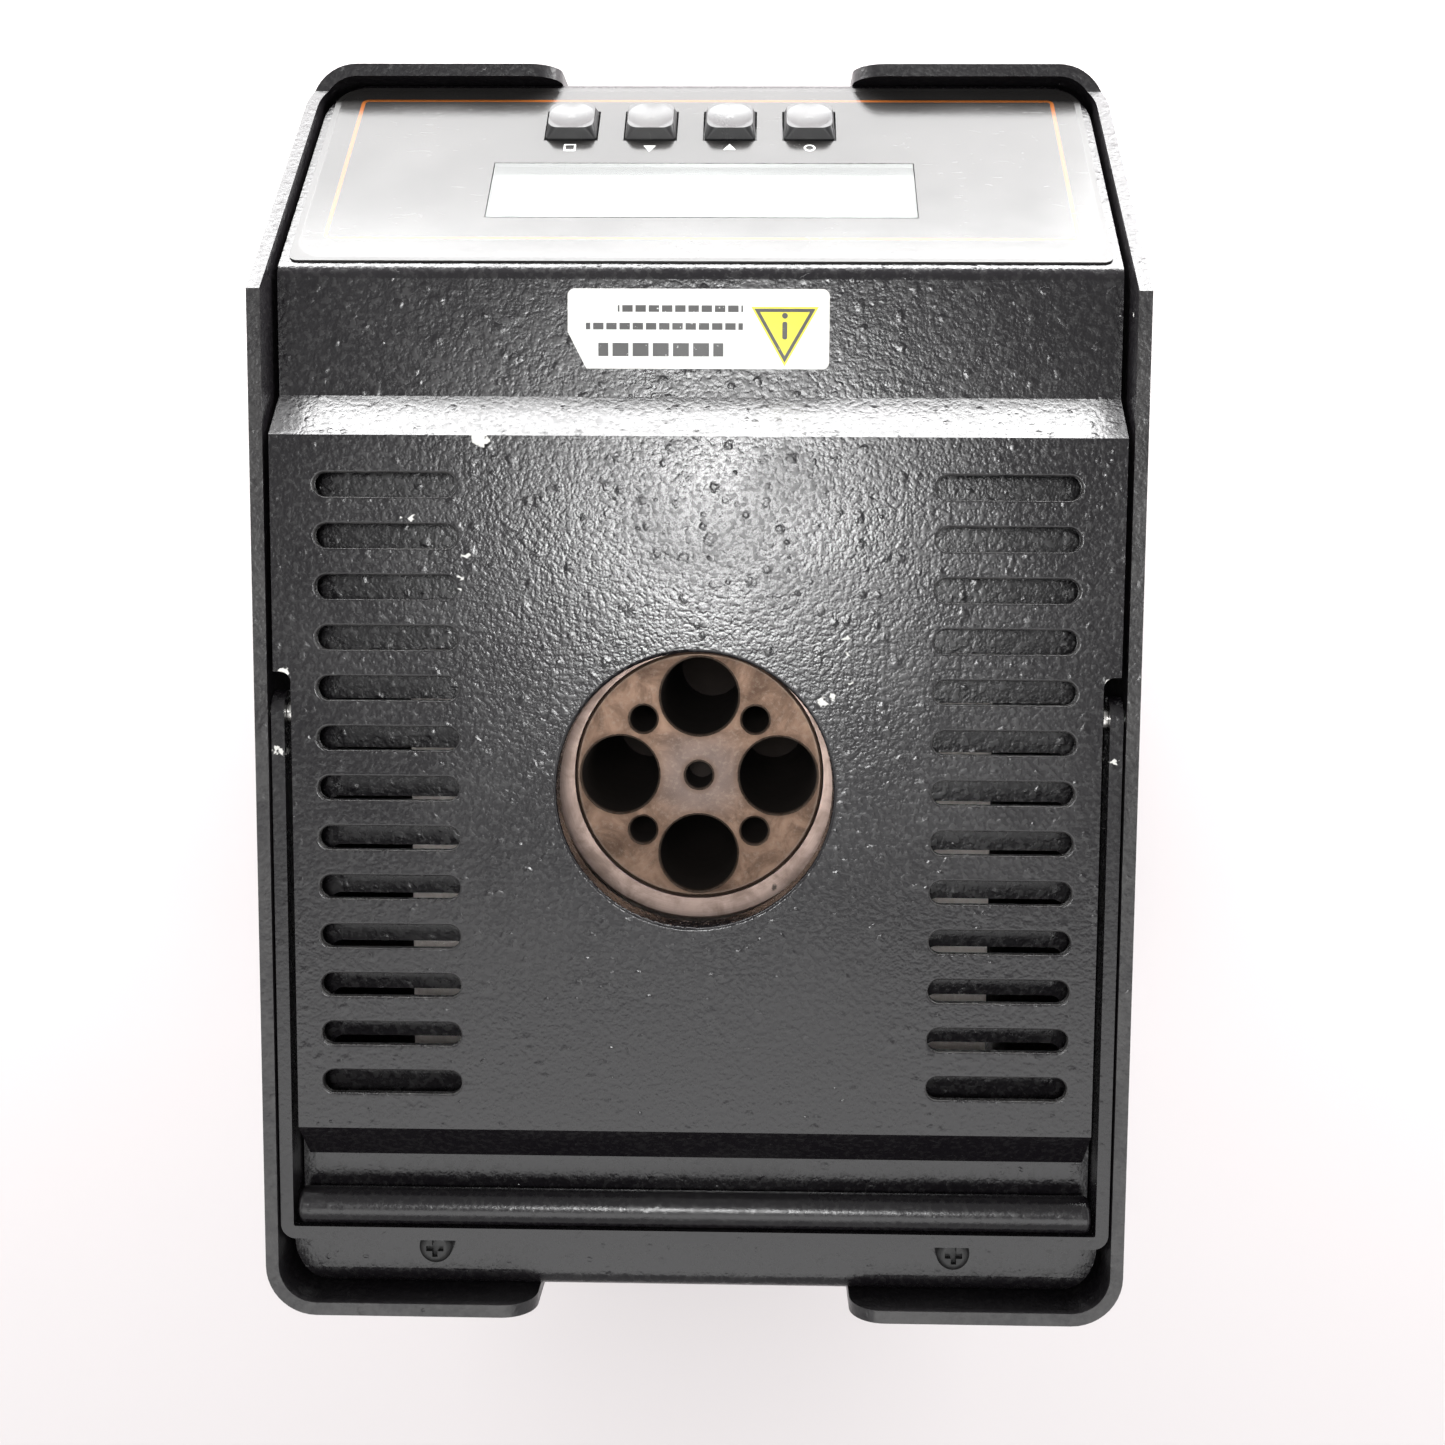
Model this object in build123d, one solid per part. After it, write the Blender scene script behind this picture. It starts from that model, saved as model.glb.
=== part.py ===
from build123d import *
import math
import os

# A bench dry block heater: a folded steel case with an electric block well in the middle.
# Millimetres. The origin is the middle of the footprint at the bench, +Z is up and -Y is the front.

# ---- case ----
case_width = 127.0
case_depth = 191.2
case_height = 152.0
foot_height = 8.0
side_gauge = 1.9            # side panels and handle
sheet_gauge = 1.2           # shell, cover and pan
side_corner = 7.5           # outside radius of the side panels' upright bends
flange_length = 40.0        # how far each side panel wraps round the front and the rear
flange_end_round = 5.0
shell_gap = 0.9             # between the shell's edges and the side panels
fit_gap = 0.3               # between pieces that only pass each other
screw_gap = 0.05            # round a screw's shank

# ---- sloped control panel ----
slope_run = 35.6            # level length of the 45 degree slope
cover_rise = 6.0            # the cover stands this far above the deck
shell_bend = 3.0            # outside radius of the shell's bends
front_lip = 4.8             # the front flanges stand this far above the slope's foot
slope_setback = 3.6         # the side panels' slope starts this far behind the shell's bend

# ---- deck and cover ----
front_deck = 17.9           # level deck in front of the cover
rear_deck = 20.9            # level deck behind the cover
arm_room = 0.4              # between the pivot screws' heads and the cover
notch_back = 40.0           # from the cover's front foot to the notch for the arms
notch_round = 1.5
slot_length = 20.4
slot_width = 3.4
slot_pitch = 7.25
slot_margin = 5.0           # plain cover before the first slot
slot_side_margin = 3.75     # plain cover beside the slots
slot_edge_round = 0.35
cover_hole = 40.0
collar_depth = 4.6          # the cover hole's turned-down rim, below the cover's top
hole_edge_round = 0.5

# ---- handle ----
strip_height = 6.4
pivot_drop = 3.9            # below the case's top
pivot_back = 6.1            # behind the notch's front edge
pivot_radius = 1.1
pivot_head_radius = 1.9
pivot_head = 0.8
web_inset = 9.6             # the web's rear face, in front of the rear panel's inside
web_inner_round = 0.3       # the web's bends, inside
grip_radius = 2.7
grip_end_gap = 0.7
pin_clearance = 0.06

# ---- heated block ----
insert_diameter = 38.1
insert_length = 82.5
insert_gap = 0.2            # between the insert and the block's bore
insert_below_top = 18.5
well_wall = 0.8             # insert left outside the wide wells
wide_well_diameter = 12.0
narrow_well_diameter = 4.2
wide_well_depth = 76.0
narrow_well_depth = 60.0
puller_hole_depth = 14.0
well_chamfer = 0.3
neck_wall = 3.25
neck_length = 11.3
block_wall = 11.75
block_floor = 6.0
neck_above_insert = 0.5
heater_radius = 4.0
heater_length = 60.0
sensor_radius = 1.6
sensor_length = 50.0
bore_clearance = 0.05
jacket_size = 92.0
lid_thickness = 4.0
jacket_clearance = 0.5
spacer_thickness = 6.0
tray_gauge = 1.5
tray_margin = 2.0           # the tray's edges lie this far inside the posts
post_radius = 3.5
post_inset = 12.6           # posts from the side panels' inside
ear_radius = 6.0

# ---- fan ----
fan_size = 80.0
fan_thickness = 25.0
fan_hole_inset = 4.25
fan_duct_wall = 2.0
fan_corner = 5.0
hub_radius = 15.0
hub_height = 18.0
motor_plate = 3.0
strut_width = 4.0
blade_count = 7
blade_thickness = 1.4
blade_pitch = 38.0          # degrees
blade_height = 14.0
blade_tip_gap = 1.0
shaft_radius = 1.5
guard_thickness = 1.5
guard_wire = 1.6
guard_ring_step = 7.5

# ---- control panel pieces ----
overlay_thickness = 0.3
overlay_inset = 2.0
overlay_top = 1.8
overlay_bottom_margin = 1.7
overlay_front_corner = 5.0
overlay_rear_corner = 1.5
window_width = 64.0
window_height = 14.2
window_middle = 19.8        # down the slope from the bend
window_lip = 2.0
window_gap = 0.15
key_size = 7.9
key_gap = 0.25
key_pitch = 12.4
key_group_shift = 2.3
key_middle = 37.45
key_stand = 2.2             # cap above the shell's face
key_top_size = 7.1
key_foot_corner = 0.4
key_top_corner = 1.7
key_dish = 0.45
key_flange = 1.2
key_flange_lip = 1.2
key_travel = 0.8
key_stem = 4.0
panel_board_depth = 9.5
board_thickness = 1.6
panel_board_height = 40.0
panel_board_middle = 27.0
tact_size = 6.0
tact_height = 3.5
plunger_radius = 1.7
plunger_height = 0.8
plunger_gap = 0.1

# ---- label ----
label_width = 37.6
label_height = 11.3
label_thickness = 0.2
label_corner = 1.0
label_cut_across = 2.7
label_cut_along = 5.2
label_back = 2.6            # behind the bend

# ---- rear power entry ----
module_middle = 60.0
module_width = 30.0
module_height = 50.0
module_flange = 1.7
module_body_margin = 1.6
module_depth = 24.0
socket_width = 24.5
socket_height = 16.5
socket_depth = 17.0
socket_up = 11.0
blade_pin = (2.0, 4.0)
blade_pin_length = 10.0
blade_pin_spacing = 7.0
drawer_width = 22.0
drawer_height = 8.0
drawer_depth = 18.0
drawer_face = 1.0
drawer_down = 12.0
drawer_gap = 0.15
drawer_wall = 1.2
fuse_radius = 2.5
switch_middle = 104.0
switch_width = 15.0
switch_height = 21.0
switch_depth = 15.0
switch_wall = 1.4
switch_lip = 1.2            # the bezel, outside the switch's body
rocker_reach = 8.0
rocker_throw = 7.0          # degrees either side of level
rocker_pin_radius = 1.0

# ---- inside the front ----
shield_gauge = 1.0
shield_foot = 8.0
shield_gap = 3.5            # behind the shield, to the posts
main_board_lift = 8.8
transformer_size = (34.0, 26.0, 30.0)
sink_size = (24.0, 20.0, 34.0)
relay_size = (12.0, 22.0, 16.0)
triac_size = (10.0, 4.4, 15.0)
capacitor_radius = 4.0
capacitor_height = 16.0
terminal_size = (30.0, 8.0, 10.0)

# ---- screws ----
screw_radius = 1.5
flat_head_radius = 2.9
flat_head_depth = 1.4
pan_head_radius = 2.5
pan_head_height = 2.1
pan_head_dome = 1.1
screw_length = 6.0
recess_size = 0.8
recess_depth = 1.0
pan_wall = 12.0

# ---- places worked out from the sizes ----
half_width = case_width / 2
inner_half = half_width - side_gauge
front_inner = -case_depth / 2 + side_gauge
rear_inner = case_depth / 2 - side_gauge
deck_top = case_height - cover_rise
bend_y = front_inner + slope_run
slope_foot = deck_top - slope_run
slope_length = slope_run * math.sqrt(2)
shell_half = inner_half - shell_gap
cover_front = bend_y + front_deck
cover_rear = rear_inner - rear_deck
well_y = (cover_front + cover_rear) / 2
arm_inner = inner_half - fit_gap - side_gauge
cover_narrow = arm_inner - pivot_head - arm_room
notch_y = cover_front + notch_back - fit_gap
pivot_y = notch_y + pivot_back
pivot_z = case_height - pivot_drop
web_rear = rear_inner - web_inset
pan_floor = foot_height + sheet_gauge
insert_top = case_height - insert_below_top
insert_bottom = insert_top - insert_length
insert_radius = insert_diameter / 2
well_circle = insert_diameter - wide_well_diameter - 2 * well_wall
bore_radius = insert_radius + insert_gap
neck_radius = bore_radius + neck_wall
block_radius = bore_radius + block_wall
block_top = insert_top + neck_above_insert
block_bottom = insert_bottom - block_floor
shoulder_z = block_top - neck_length
heater_circle = (bore_radius + block_radius) / 2
tray_top = block_bottom - spacer_thickness
tray_bottom = tray_top - tray_gauge
lid_bottom = shoulder_z + fit_gap
fan_hole_pitch = fan_size - 2 * fan_hole_inset
fan_duct_radius = fan_size / 2 - fan_duct_wall
post_x = inner_half - post_inset
post_y = fan_size / 2 + 9.0
shield_y = well_y - post_y - post_radius - shield_gap - shield_gauge
panel_plane = Plane(origin=(0, bend_y, deck_top), x_dir=(1, 0, 0), z_dir=(0, -1, 1))
panel_board_half = shell_half - 6.5
standoff_x = panel_board_half - 4.0
board_top = pan_floor + main_board_lift
main_board_half = inner_half - 9.6
main_board_front = front_inner + 7.7
main_board_rear = shield_y - 3.0
key_names = ("key_set", "key_down", "key_up", "key_exit")


def block(x0, x1, y0, y1, z0, z1):
    """A box between two corners."""
    return Pos((x0 + x1) / 2, (y0 + y1) / 2, (z0 + z1) / 2) * Box(x1 - x0, y1 - y0, z1 - z0)


def rod(x, y, z0, z1, radius):
    """An upright cylinder."""
    return Pos(x, y, (z0 + z1) / 2) * Cylinder(radius, z1 - z0)


def rounded_block(x_half, y0, y1, z0, z1, radius):
    """An upright block with rounded plan corners."""
    plan = Pos(0, (y0 + y1) / 2, z0) * RectangleRounded(2 * x_half, y1 - y0, radius)
    return extrude(plan, z1 - z0, dir=(0, 0, 1))


def side_prism(points, x0, x1):
    """A (y, z) outline drawn out along X."""
    outline = Polygon(*points, align=None)
    plane = Plane(origin=(x0, 0, 0), x_dir=(0, 1, 0), z_dir=(1, 0, 0))
    return extrude(plane * outline, x1 - x0, dir=(1, 0, 0))


def on_panel(x, down, lift, shape):
    """Places a shape on the slope: across, down from the bend, and out of its face."""
    return panel_plane * Pos(x, -down, lift) * shape


def both_sides(shape):
    return shape + mirror(shape, Plane.YZ)


def group(shapes):
    """Separate solids that share a node."""
    return Compound(children=[solid for shape in shapes for solid in shape.solids()])


def corners(x_half, y_half, y_middle=0.0):
    return [(sx * x_half, y_middle + sy * y_half) for sx in (-1, 1) for sy in (-1, 1)]


# ---- screws: each points down, its head's seat at the origin ----
def pan_screw(length=screw_length, head=pan_head_radius, height=pan_head_height):
    cap = Pos(0, 0, height / 2) * Cylinder(head, height)
    cap = fillet(cap.edges().sort_by(Axis.Z)[-1], min(pan_head_dome, height * 0.6))
    shank = rod(0, 0, -length, 0, screw_radius)
    slots = Box(recess_size, 2.6, 2 * recess_depth) + Box(2.6, recess_size, 2 * recess_depth)
    return cap + shank - Pos(0, 0, height) * slots


def flat_screw(length=screw_length):
    """A countersunk screw, its top face at the origin."""
    head = Pos(0, 0, -flat_head_depth / 2) * Cone(screw_radius, flat_head_radius, flat_head_depth)
    shank = rod(0, 0, -length, -flat_head_depth / 2, screw_radius)
    slots = Box(recess_size, 3.0, 2 * recess_depth) + Box(3.0, recess_size, 2 * recess_depth)
    return head + shank - slots


def flat_hole(depth):
    """The countersunk hole for flat_screw, through a sheet of that depth."""
    wide = flat_head_radius + screw_gap
    narrow = screw_radius + screw_gap
    cone = Pos(0, 0, -flat_head_depth / 2) * Cone(narrow, wide, flat_head_depth)
    return cone + rod(0, 0, -depth, 0, narrow)


# ---- places of the flush case screws: a location whose +Z points out of the case ----
def flange_screw_places():
    places = []
    x = half_width - flange_length / 2 - 1.5
    for side in (-1, 1):
        for z in (30.0, slope_foot - 14.0):
            places.append(Pos(side * x, -case_depth / 2, z) * Rot(90, 0, 0))
        for z in (30.0, deck_top - 16.0):
            places.append(Pos(side * x, case_depth / 2, z) * Rot(-90, 0, 0))
    return places


def side_screw_places():
    places = []
    for y in (front_inner + 33.0, rear_inner - 33.0):
        for side in (-1, 1):
            places.append(Pos(side * half_width, y, foot_height + 7.0) * Rot(0, side * 90, 0))
    return places


# ---- case ----
def side_panel(side):
    outer = rounded_block(half_width, -case_depth / 2, case_depth / 2, foot_height, case_height, side_corner)
    inner_corner = side_corner - side_gauge
    inner = rounded_block(inner_half, front_inner, rear_inner, foot_height, case_height, inner_corner)
    panel = outer - inner
    slope_start = bend_y + slope_setback
    lip_z = slope_foot + front_lip
    cut = [(slope_start, case_height), (slope_start - (case_height - lip_z), lip_z),
           (-case_depth, lip_z), (-case_depth, 2 * case_height), (slope_start, 2 * case_height)]
    panel -= side_prism(cut, -case_width, case_width)
    gap_half = half_width - flange_length
    keep = block(gap_half, case_width, -case_depth, case_depth, 0, 2 * case_height)
    panel = panel & keep
    ends = panel.edges().filter_by(Axis.Y).filter_by(lambda e: abs(e.center().X - gap_half) < 0.01)
    panel = fillet(ends, flange_end_round)
    if side < 0:
        panel = mirror(panel, Plane.YZ)
    for place in flange_screw_places() + side_screw_places():
        panel -= place * flat_hole(2 * side_gauge)
    pivot_hole = Pos(0, pivot_y, pivot_z) * Rot(0, 90, 0) * Cylinder(pivot_radius + screw_gap, 2 * case_width)
    return panel - pivot_hole


def folded_outline(inset):
    """The shell's side outline, moved in by the sheet's gauge for its inner face."""
    slant = inset * math.tan(math.radians(22.5))
    front = front_inner + inset
    rear = rear_inner - inset
    top = deck_top - inset
    return [(front, foot_height), (front, slope_foot - slant), (bend_y + slant, top),
            (rear, top), (rear, foot_height)]


def folded_prism(inset, half, radius):
    prism = side_prism(folded_outline(inset), -half, half)
    bends = prism.edges().filter_by(Axis.X).filter_by(lambda e: e.center().Z > foot_height + 1)
    return fillet(bends, radius)


def slot_rows(half_step):
    """How far each row of slots lies from the well's centre, along Y."""
    flat = cover_rear - cover_front - 2 * cover_rise - 2 * slot_margin - slot_width
    gaps = int(flat / slot_pitch)
    count = gaps if half_step else gaps + 1
    return [(row - (count - 1) / 2) * slot_pitch for row in range(count)]


def vent_slots(half_step, z0, z1):
    slot_x = cover_narrow - slot_side_margin - slot_length / 2
    slots = Sketch()
    for row in slot_rows(half_step):
        for side in (-1, 1):
            slots += Pos(side * slot_x, well_y + row) * SlotOverall(slot_length, slot_width)
    return extrude(Pos(0, 0, z0) * slots, z1 - z0)


def body_shell():
    shell = folded_prism(0, shell_half, shell_bend)
    shell -= folded_prism(sheet_gauge, case_width, shell_bend - sheet_gauge)
    plan = rounded_block(shell_half, front_inner, rear_inner, 0, case_height, side_corner)
    shell = shell & plan
    ledge = arm_inner - fit_gap
    channel = block(ledge, case_width, notch_y, rear_inner - side_corner, deck_top - side_gauge, case_height)
    shell -= both_sides(channel)
    shell -= vent_slots(True, deck_top - 2 * sheet_gauge, case_height)
    shell -= rod(0, well_y, deck_top - 2 * sheet_gauge, case_height, neck_radius + 1.0)
    window = Box(window_width + 2 * window_gap, window_height + 2 * window_gap, 4 * sheet_gauge)
    shell -= on_panel(0, window_middle, 0, window)
    key_opening = Box(key_size + 2 * key_gap, key_size + 2 * key_gap, 4 * sheet_gauge)
    for x in key_places():
        shell -= on_panel(x, key_middle, 0, key_opening)
    for place in flange_screw_places():
        shell -= place * rod(0, 0, -2 * (side_gauge + sheet_gauge), 0, screw_radius + screw_gap)
    for x, y in deck_screw_places():
        shell -= rod(x, y, deck_top - 2 * sheet_gauge, case_height, screw_radius + screw_gap)
    body_x = module_width / 2 - module_body_margin + window_gap
    body_z = module_height / 2 - module_body_margin + window_gap
    shell -= block(-body_x, body_x, rear_inner - 5, rear_inner + 5,
                   module_middle - body_z, module_middle + body_z)
    switch_x = switch_width / 2 - switch_lip + window_gap
    switch_z = switch_height / 2 - switch_lip + window_gap
    shell -= block(-switch_x, switch_x, rear_inner - 5, rear_inner + 5,
                   switch_middle - switch_z, switch_middle + switch_z)
    return shell


def top_cover():
    def hat(inset):
        slant = inset * math.tan(math.radians(22.5))
        foot = inset / math.sin(math.radians(45))
        top = case_height - inset
        points = [(cover_front + foot, deck_top), (cover_front + cover_rise + slant, top),
                  (cover_rear - cover_rise - slant, top), (cover_rear - foot, deck_top)]
        wide = side_prism(points, -(shell_half - inset), shell_half - inset)
        side = block(cover_narrow - inset, case_width, notch_y - inset, case_depth, 0, 2 * case_height)
        turn = side.edges().filter_by(Axis.Z).sort_by(Axis.X)[0:2].sort_by(Axis.Y)[0]
        side = fillet(turn, notch_round + inset)
        return wide - both_sides(side)

    cover = hat(0) - hat(sheet_gauge)
    collar_top = case_height - sheet_gauge / 2
    cover += rod(0, well_y, case_height - collar_depth, collar_top, cover_hole / 2 + sheet_gauge)
    cover -= rod(0, well_y, 0, 2 * case_height, cover_hole / 2)
    cover -= vent_slots(False, case_height - 2 * sheet_gauge, case_height + 1)
    rims = cover.faces().sort_by(Axis.Z)[-1].inner_wires()
    slot_rims = [edge for wire in rims if wire.length < 3 * slot_length for edge in wire.edges()]
    cover = fillet(slot_rims, slot_edge_round)
    circles = cover.edges().filter_by(GeomType.CIRCLE)
    hole_rims = circles.filter_by(lambda e: abs(e.radius - cover_hole / 2) < 0.01)
    return fillet(hole_rims.sort_by(Axis.Z)[-1], hole_edge_round)


def base_pan():
    half = inner_half - 0.2
    edge = sheet_gauge + 0.2
    front = front_inner + edge
    rear = rear_inner - edge
    corner = side_corner - 1.0
    pan = rounded_block(half, front, rear, foot_height, foot_height + sheet_gauge + pan_wall, corner)
    pan -= rounded_block(half - sheet_gauge, front + sheet_gauge, rear - sheet_gauge, pan_floor,
                         2 * case_height, corner - sheet_gauge)
    pan -= rod(0, well_y, 0, pan_floor + 1, fan_duct_radius)
    hole = screw_radius + screw_gap
    for x, y in foot_places() + fan_screw_places() + post_places() + shield_screw_places():
        pan -= rod(x, y, 0, pan_floor + 1, hole)
    for x, y in main_standoff_places():
        pan -= rod(x, y, 0, pan_floor + 1, hole)
    for place in side_screw_places():
        pan -= place * rod(0, 0, -4 * side_gauge, 0, hole)
    return pan


def foot_places():
    return corners(inner_half - 11.6, rear_inner - 11.7)


def rubber_feet():
    feet = []
    for x, y in foot_places():
        foot = Pos(x, y, foot_height / 2) * Cone(7.0, 8.0, foot_height)
        foot = fillet(foot.edges().sort_by(Axis.Z)[0], 0.8)
        foot -= rod(x, y, 0, 3.0, 4.0)
        foot -= rod(x, y, 0, foot_height, screw_radius + screw_gap)
        feet.append(foot)
    return group(feet)


def foot_screws():
    return group([Pos(x, y, 3.0) * Rot(180, 0, 0) * pan_screw(9.0) for x, y in foot_places()])


def deck_screw_places():
    y = web_rear + pan_head_radius + 0.15
    return [(side * (inner_half - 22.6), y) for side in (-1, 1)]


def deck_screws():
    return group([Pos(x, y, deck_top) * pan_screw() for x, y in deck_screw_places()])


def rear_bracket():
    """The angle strip that the deck's two screws pull down on, inside the rear corner."""
    half = inner_half - 14.0
    rear = rear_inner - sheet_gauge
    top = deck_top - sheet_gauge
    front = rear - 14.0
    leg = 12.0
    outline = [(front, top), (rear - 2.0, top), (rear, top - 2.0), (rear, top - leg),
               (rear - sheet_gauge, top - leg), (rear - sheet_gauge, top - sheet_gauge - 1.0),
               (rear - sheet_gauge - 1.0, top - sheet_gauge), (front, top - sheet_gauge)]
    bracket = side_prism(outline, -half, half)
    for x, y in deck_screw_places():
        bracket -= rod(x, y, 0, case_height, screw_radius + screw_gap)
    return bracket


# ---- handle ----
def carry_handle():
    outer_half = inner_half - fit_gap
    z0 = pivot_z - strip_height / 2
    z1 = pivot_z + strip_height / 2
    web_front = web_rear - side_gauge
    outer = block(-outer_half, outer_half, pivot_y, web_rear, z0, z1)
    rear_edges = outer.edges().filter_by(Axis.Z).sort_by(Axis.Y)[-2:]
    outer = fillet(rear_edges, web_inner_round + side_gauge)
    inner = block(-arm_inner, arm_inner, pivot_y - strip_height, web_front, 0, 2 * case_height)
    inner = fillet(inner.edges().filter_by(Axis.Z).sort_by(Axis.Y)[-2:], web_inner_round)
    ends = Pos(0, pivot_y, pivot_z) * Rot(0, 90, 0) * Cylinder(strip_height / 2, 2 * outer_half)
    handle = outer + ends - inner
    handle -= block(-arm_inner, arm_inner, 0, case_depth, 0, deck_top + fit_gap)
    grip_y = web_front - grip_radius + 0.15
    grip_z = deck_top + grip_radius + fit_gap
    grip_half = arm_inner - grip_end_gap
    grip = Pos(0, grip_y, grip_z) * Rot(0, 90, 0) * Cylinder(grip_radius, 2 * grip_half)
    grip = fillet(grip.edges().filter_by(GeomType.CIRCLE), 0.8)
    handle += grip
    hole = Cylinder(pivot_radius + pin_clearance, 2 * case_width)
    return handle - Pos(0, pivot_y, pivot_z) * Rot(0, 90, 0) * hole


def handle_screws():
    """Pivot screws with flat heads inside the arms, run out to the side panels' faces."""
    screws = []
    seat = arm_inner - screw_gap
    for side in (-1, 1):
        turn = Pos(side * seat, pivot_y, pivot_z) * Rot(0, side * 90, 0)
        head = rod(0, 0, -pivot_head, 0, pivot_head_radius)
        head = chamfer(head.edges().sort_by(Axis.Z)[0], 0.2)
        shank = rod(0, 0, -pivot_head, half_width - seat - 0.1, pivot_radius)
        screws.append(turn * (head + shank - Pos(0, 0, -pivot_head) * Box(0.6, 4, 0.7)))
    return group(screws)


# ---- heated block ----
def well_places(start):
    radius = well_circle / 2
    turns = [math.radians(start + 90 * step) for step in range(4)]
    return [(radius * math.cos(turn), well_y + radius * math.sin(turn)) for turn in turns]


def block_insert():
    insert = rod(0, well_y, insert_bottom, insert_top, insert_radius)
    for x, y in well_places(0):
        insert -= rod(x, y, insert_top - wide_well_depth, insert_top + 1, wide_well_diameter / 2)
    for x, y in well_places(45):
        insert -= rod(x, y, insert_top - narrow_well_depth, insert_top + 1, narrow_well_diameter / 2)
    insert -= rod(0, well_y, insert_top - puller_hole_depth, insert_top + 1, narrow_well_diameter / 2)
    rims = insert.faces().sort_by(Axis.Z)[-1].edges()
    return chamfer(rims, well_chamfer)


def heater_places(start, step):
    turns = [math.radians(start + step * count) for count in range(360 // step)]
    return [(heater_circle * math.cos(turn), well_y + heater_circle * math.sin(turn)) for turn in turns]


def heater_block():
    body = rod(0, well_y, block_bottom, shoulder_z, block_radius)
    neck = rod(0, well_y, shoulder_z - 1, block_top, neck_radius)
    heated = body + neck
    heated = chamfer(heated.edges().sort_by(Axis.Z)[-1], 0.3)
    heated -= rod(0, well_y, insert_bottom, 2 * case_height, bore_radius)
    for x, y in heater_places(45, 90):
        heated -= rod(x, y, 0, block_bottom + heater_length + 1, heater_radius + bore_clearance)
    for x, y in heater_places(0, 180):
        heated -= rod(x, y, 0, block_bottom + sensor_length + 1, sensor_radius + bore_clearance)
    return heated


def cartridge_heaters():
    return group([rod(x, y, block_bottom, block_bottom + heater_length, heater_radius)
                  for x, y in heater_places(45, 90)])


def probe(which):
    x, y = heater_places(0, 180)[which]
    return rod(x, y, block_bottom, block_bottom + sensor_length, sensor_radius)


def insulation_jacket():
    half = jacket_size / 2
    jacket = block(-half, half, well_y - half, well_y + half, tray_top, lid_bottom)
    return jacket - rod(0, well_y, 0, case_height, block_radius + jacket_clearance)


def insulation_lid():
    half = jacket_size / 2
    lid = block(-half, half, well_y - half, well_y + half, lid_bottom, lid_bottom + lid_thickness)
    return lid - rod(0, well_y, 0, case_height, neck_radius + fit_gap)


def block_spacer():
    return rod(0, well_y, tray_top, block_bottom, block_radius - 1.0)


def post_places():
    return corners(post_x, post_y, well_y)


def block_tray():
    half_x = post_x - tray_margin
    half_y = post_y - tray_margin
    tray = block(-half_x, half_x, well_y - half_y, well_y + half_y, tray_bottom, tray_top)
    for x, y in post_places():
        tray += rod(x, y, tray_bottom, tray_top, ear_radius)
    for x, y in post_places():
        tray -= rod(x, y, 0, case_height, screw_radius + screw_gap)
    return tray


def block_posts():
    posts = []
    for x, y in post_places():
        post = rod(x, y, pan_floor, tray_bottom, post_radius)
        posts.append(post - rod(x, y, 0, case_height, screw_radius + screw_gap))
    return group(posts)


def post_screws():
    upper = [Pos(x, y, tray_top) * pan_screw(8.0) for x, y in post_places()]
    lower = [Pos(x, y, foot_height) * Rot(180, 0, 0) * pan_screw(8.0) for x, y in post_places()]
    return group(upper + lower)


# ---- fan ----
def fan_screw_places():
    return corners(fan_hole_pitch / 2, fan_hole_pitch / 2, well_y)


def fan_frame():
    half = fan_size / 2
    top = pan_floor + fan_thickness
    frame = rounded_block(half, well_y - half, well_y + half, pan_floor, top, fan_corner)
    frame -= rod(0, well_y, 0, case_height, fan_duct_radius)
    motor = rod(0, well_y, pan_floor, pan_floor + motor_plate, hub_radius)
    bearing = rod(0, well_y, pan_floor, pan_floor + motor_plate + 3.0, shaft_radius + 3.0)
    frame += motor + bearing
    for turn in (45, 135, 225, 315):
        reach = (fan_duct_radius + hub_radius) / 2
        long = fan_duct_radius - hub_radius + 2
        strut = Pos(reach, 0, pan_floor + motor_plate / 2) * Box(long, strut_width, motor_plate)
        frame += Pos(0, well_y, 0) * Rot(0, 0, turn) * strut
    frame -= rod(0, well_y, pan_floor + 1.0, case_height, shaft_radius + pin_clearance)
    for x, y in fan_screw_places():
        frame -= rod(x, y, 0, case_height, screw_radius + screw_gap)
    return frame


def fan_rotor():
    hub_bottom = pan_floor + motor_plate + fit_gap
    hub_top = hub_bottom + hub_height
    hub = rod(0, well_y, hub_bottom, hub_top, hub_radius)
    hub = fillet(hub.edges().sort_by(Axis.Z)[-1], 1.5)
    hub -= rod(0, well_y, hub_bottom, hub_bottom + 4.0, shaft_radius + 3.0 + 2 * fit_gap)
    hub += rod(0, well_y, pan_floor + 1.5, hub_top - 2, shaft_radius)
    tip = fan_duct_radius - blade_tip_gap
    sweep_ring = rod(0, well_y, hub_bottom, hub_top, tip) - rod(0, well_y, 0, case_height, hub_radius - 1.0)
    rotor = hub
    for count in range(blade_count):
        blade = Pos((tip + hub_radius) / 2, 0, 0) * Rot(blade_pitch, 0, 0)
        blade = blade * Box(tip - hub_radius + 6, blade_thickness, blade_height / math.sin(math.radians(55)))
        turn = Pos(0, well_y, hub_bottom + hub_height / 2) * Rot(0, 0, 360 / blade_count * count)
        rotor += (turn * blade) & sweep_ring
    return rotor


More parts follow.
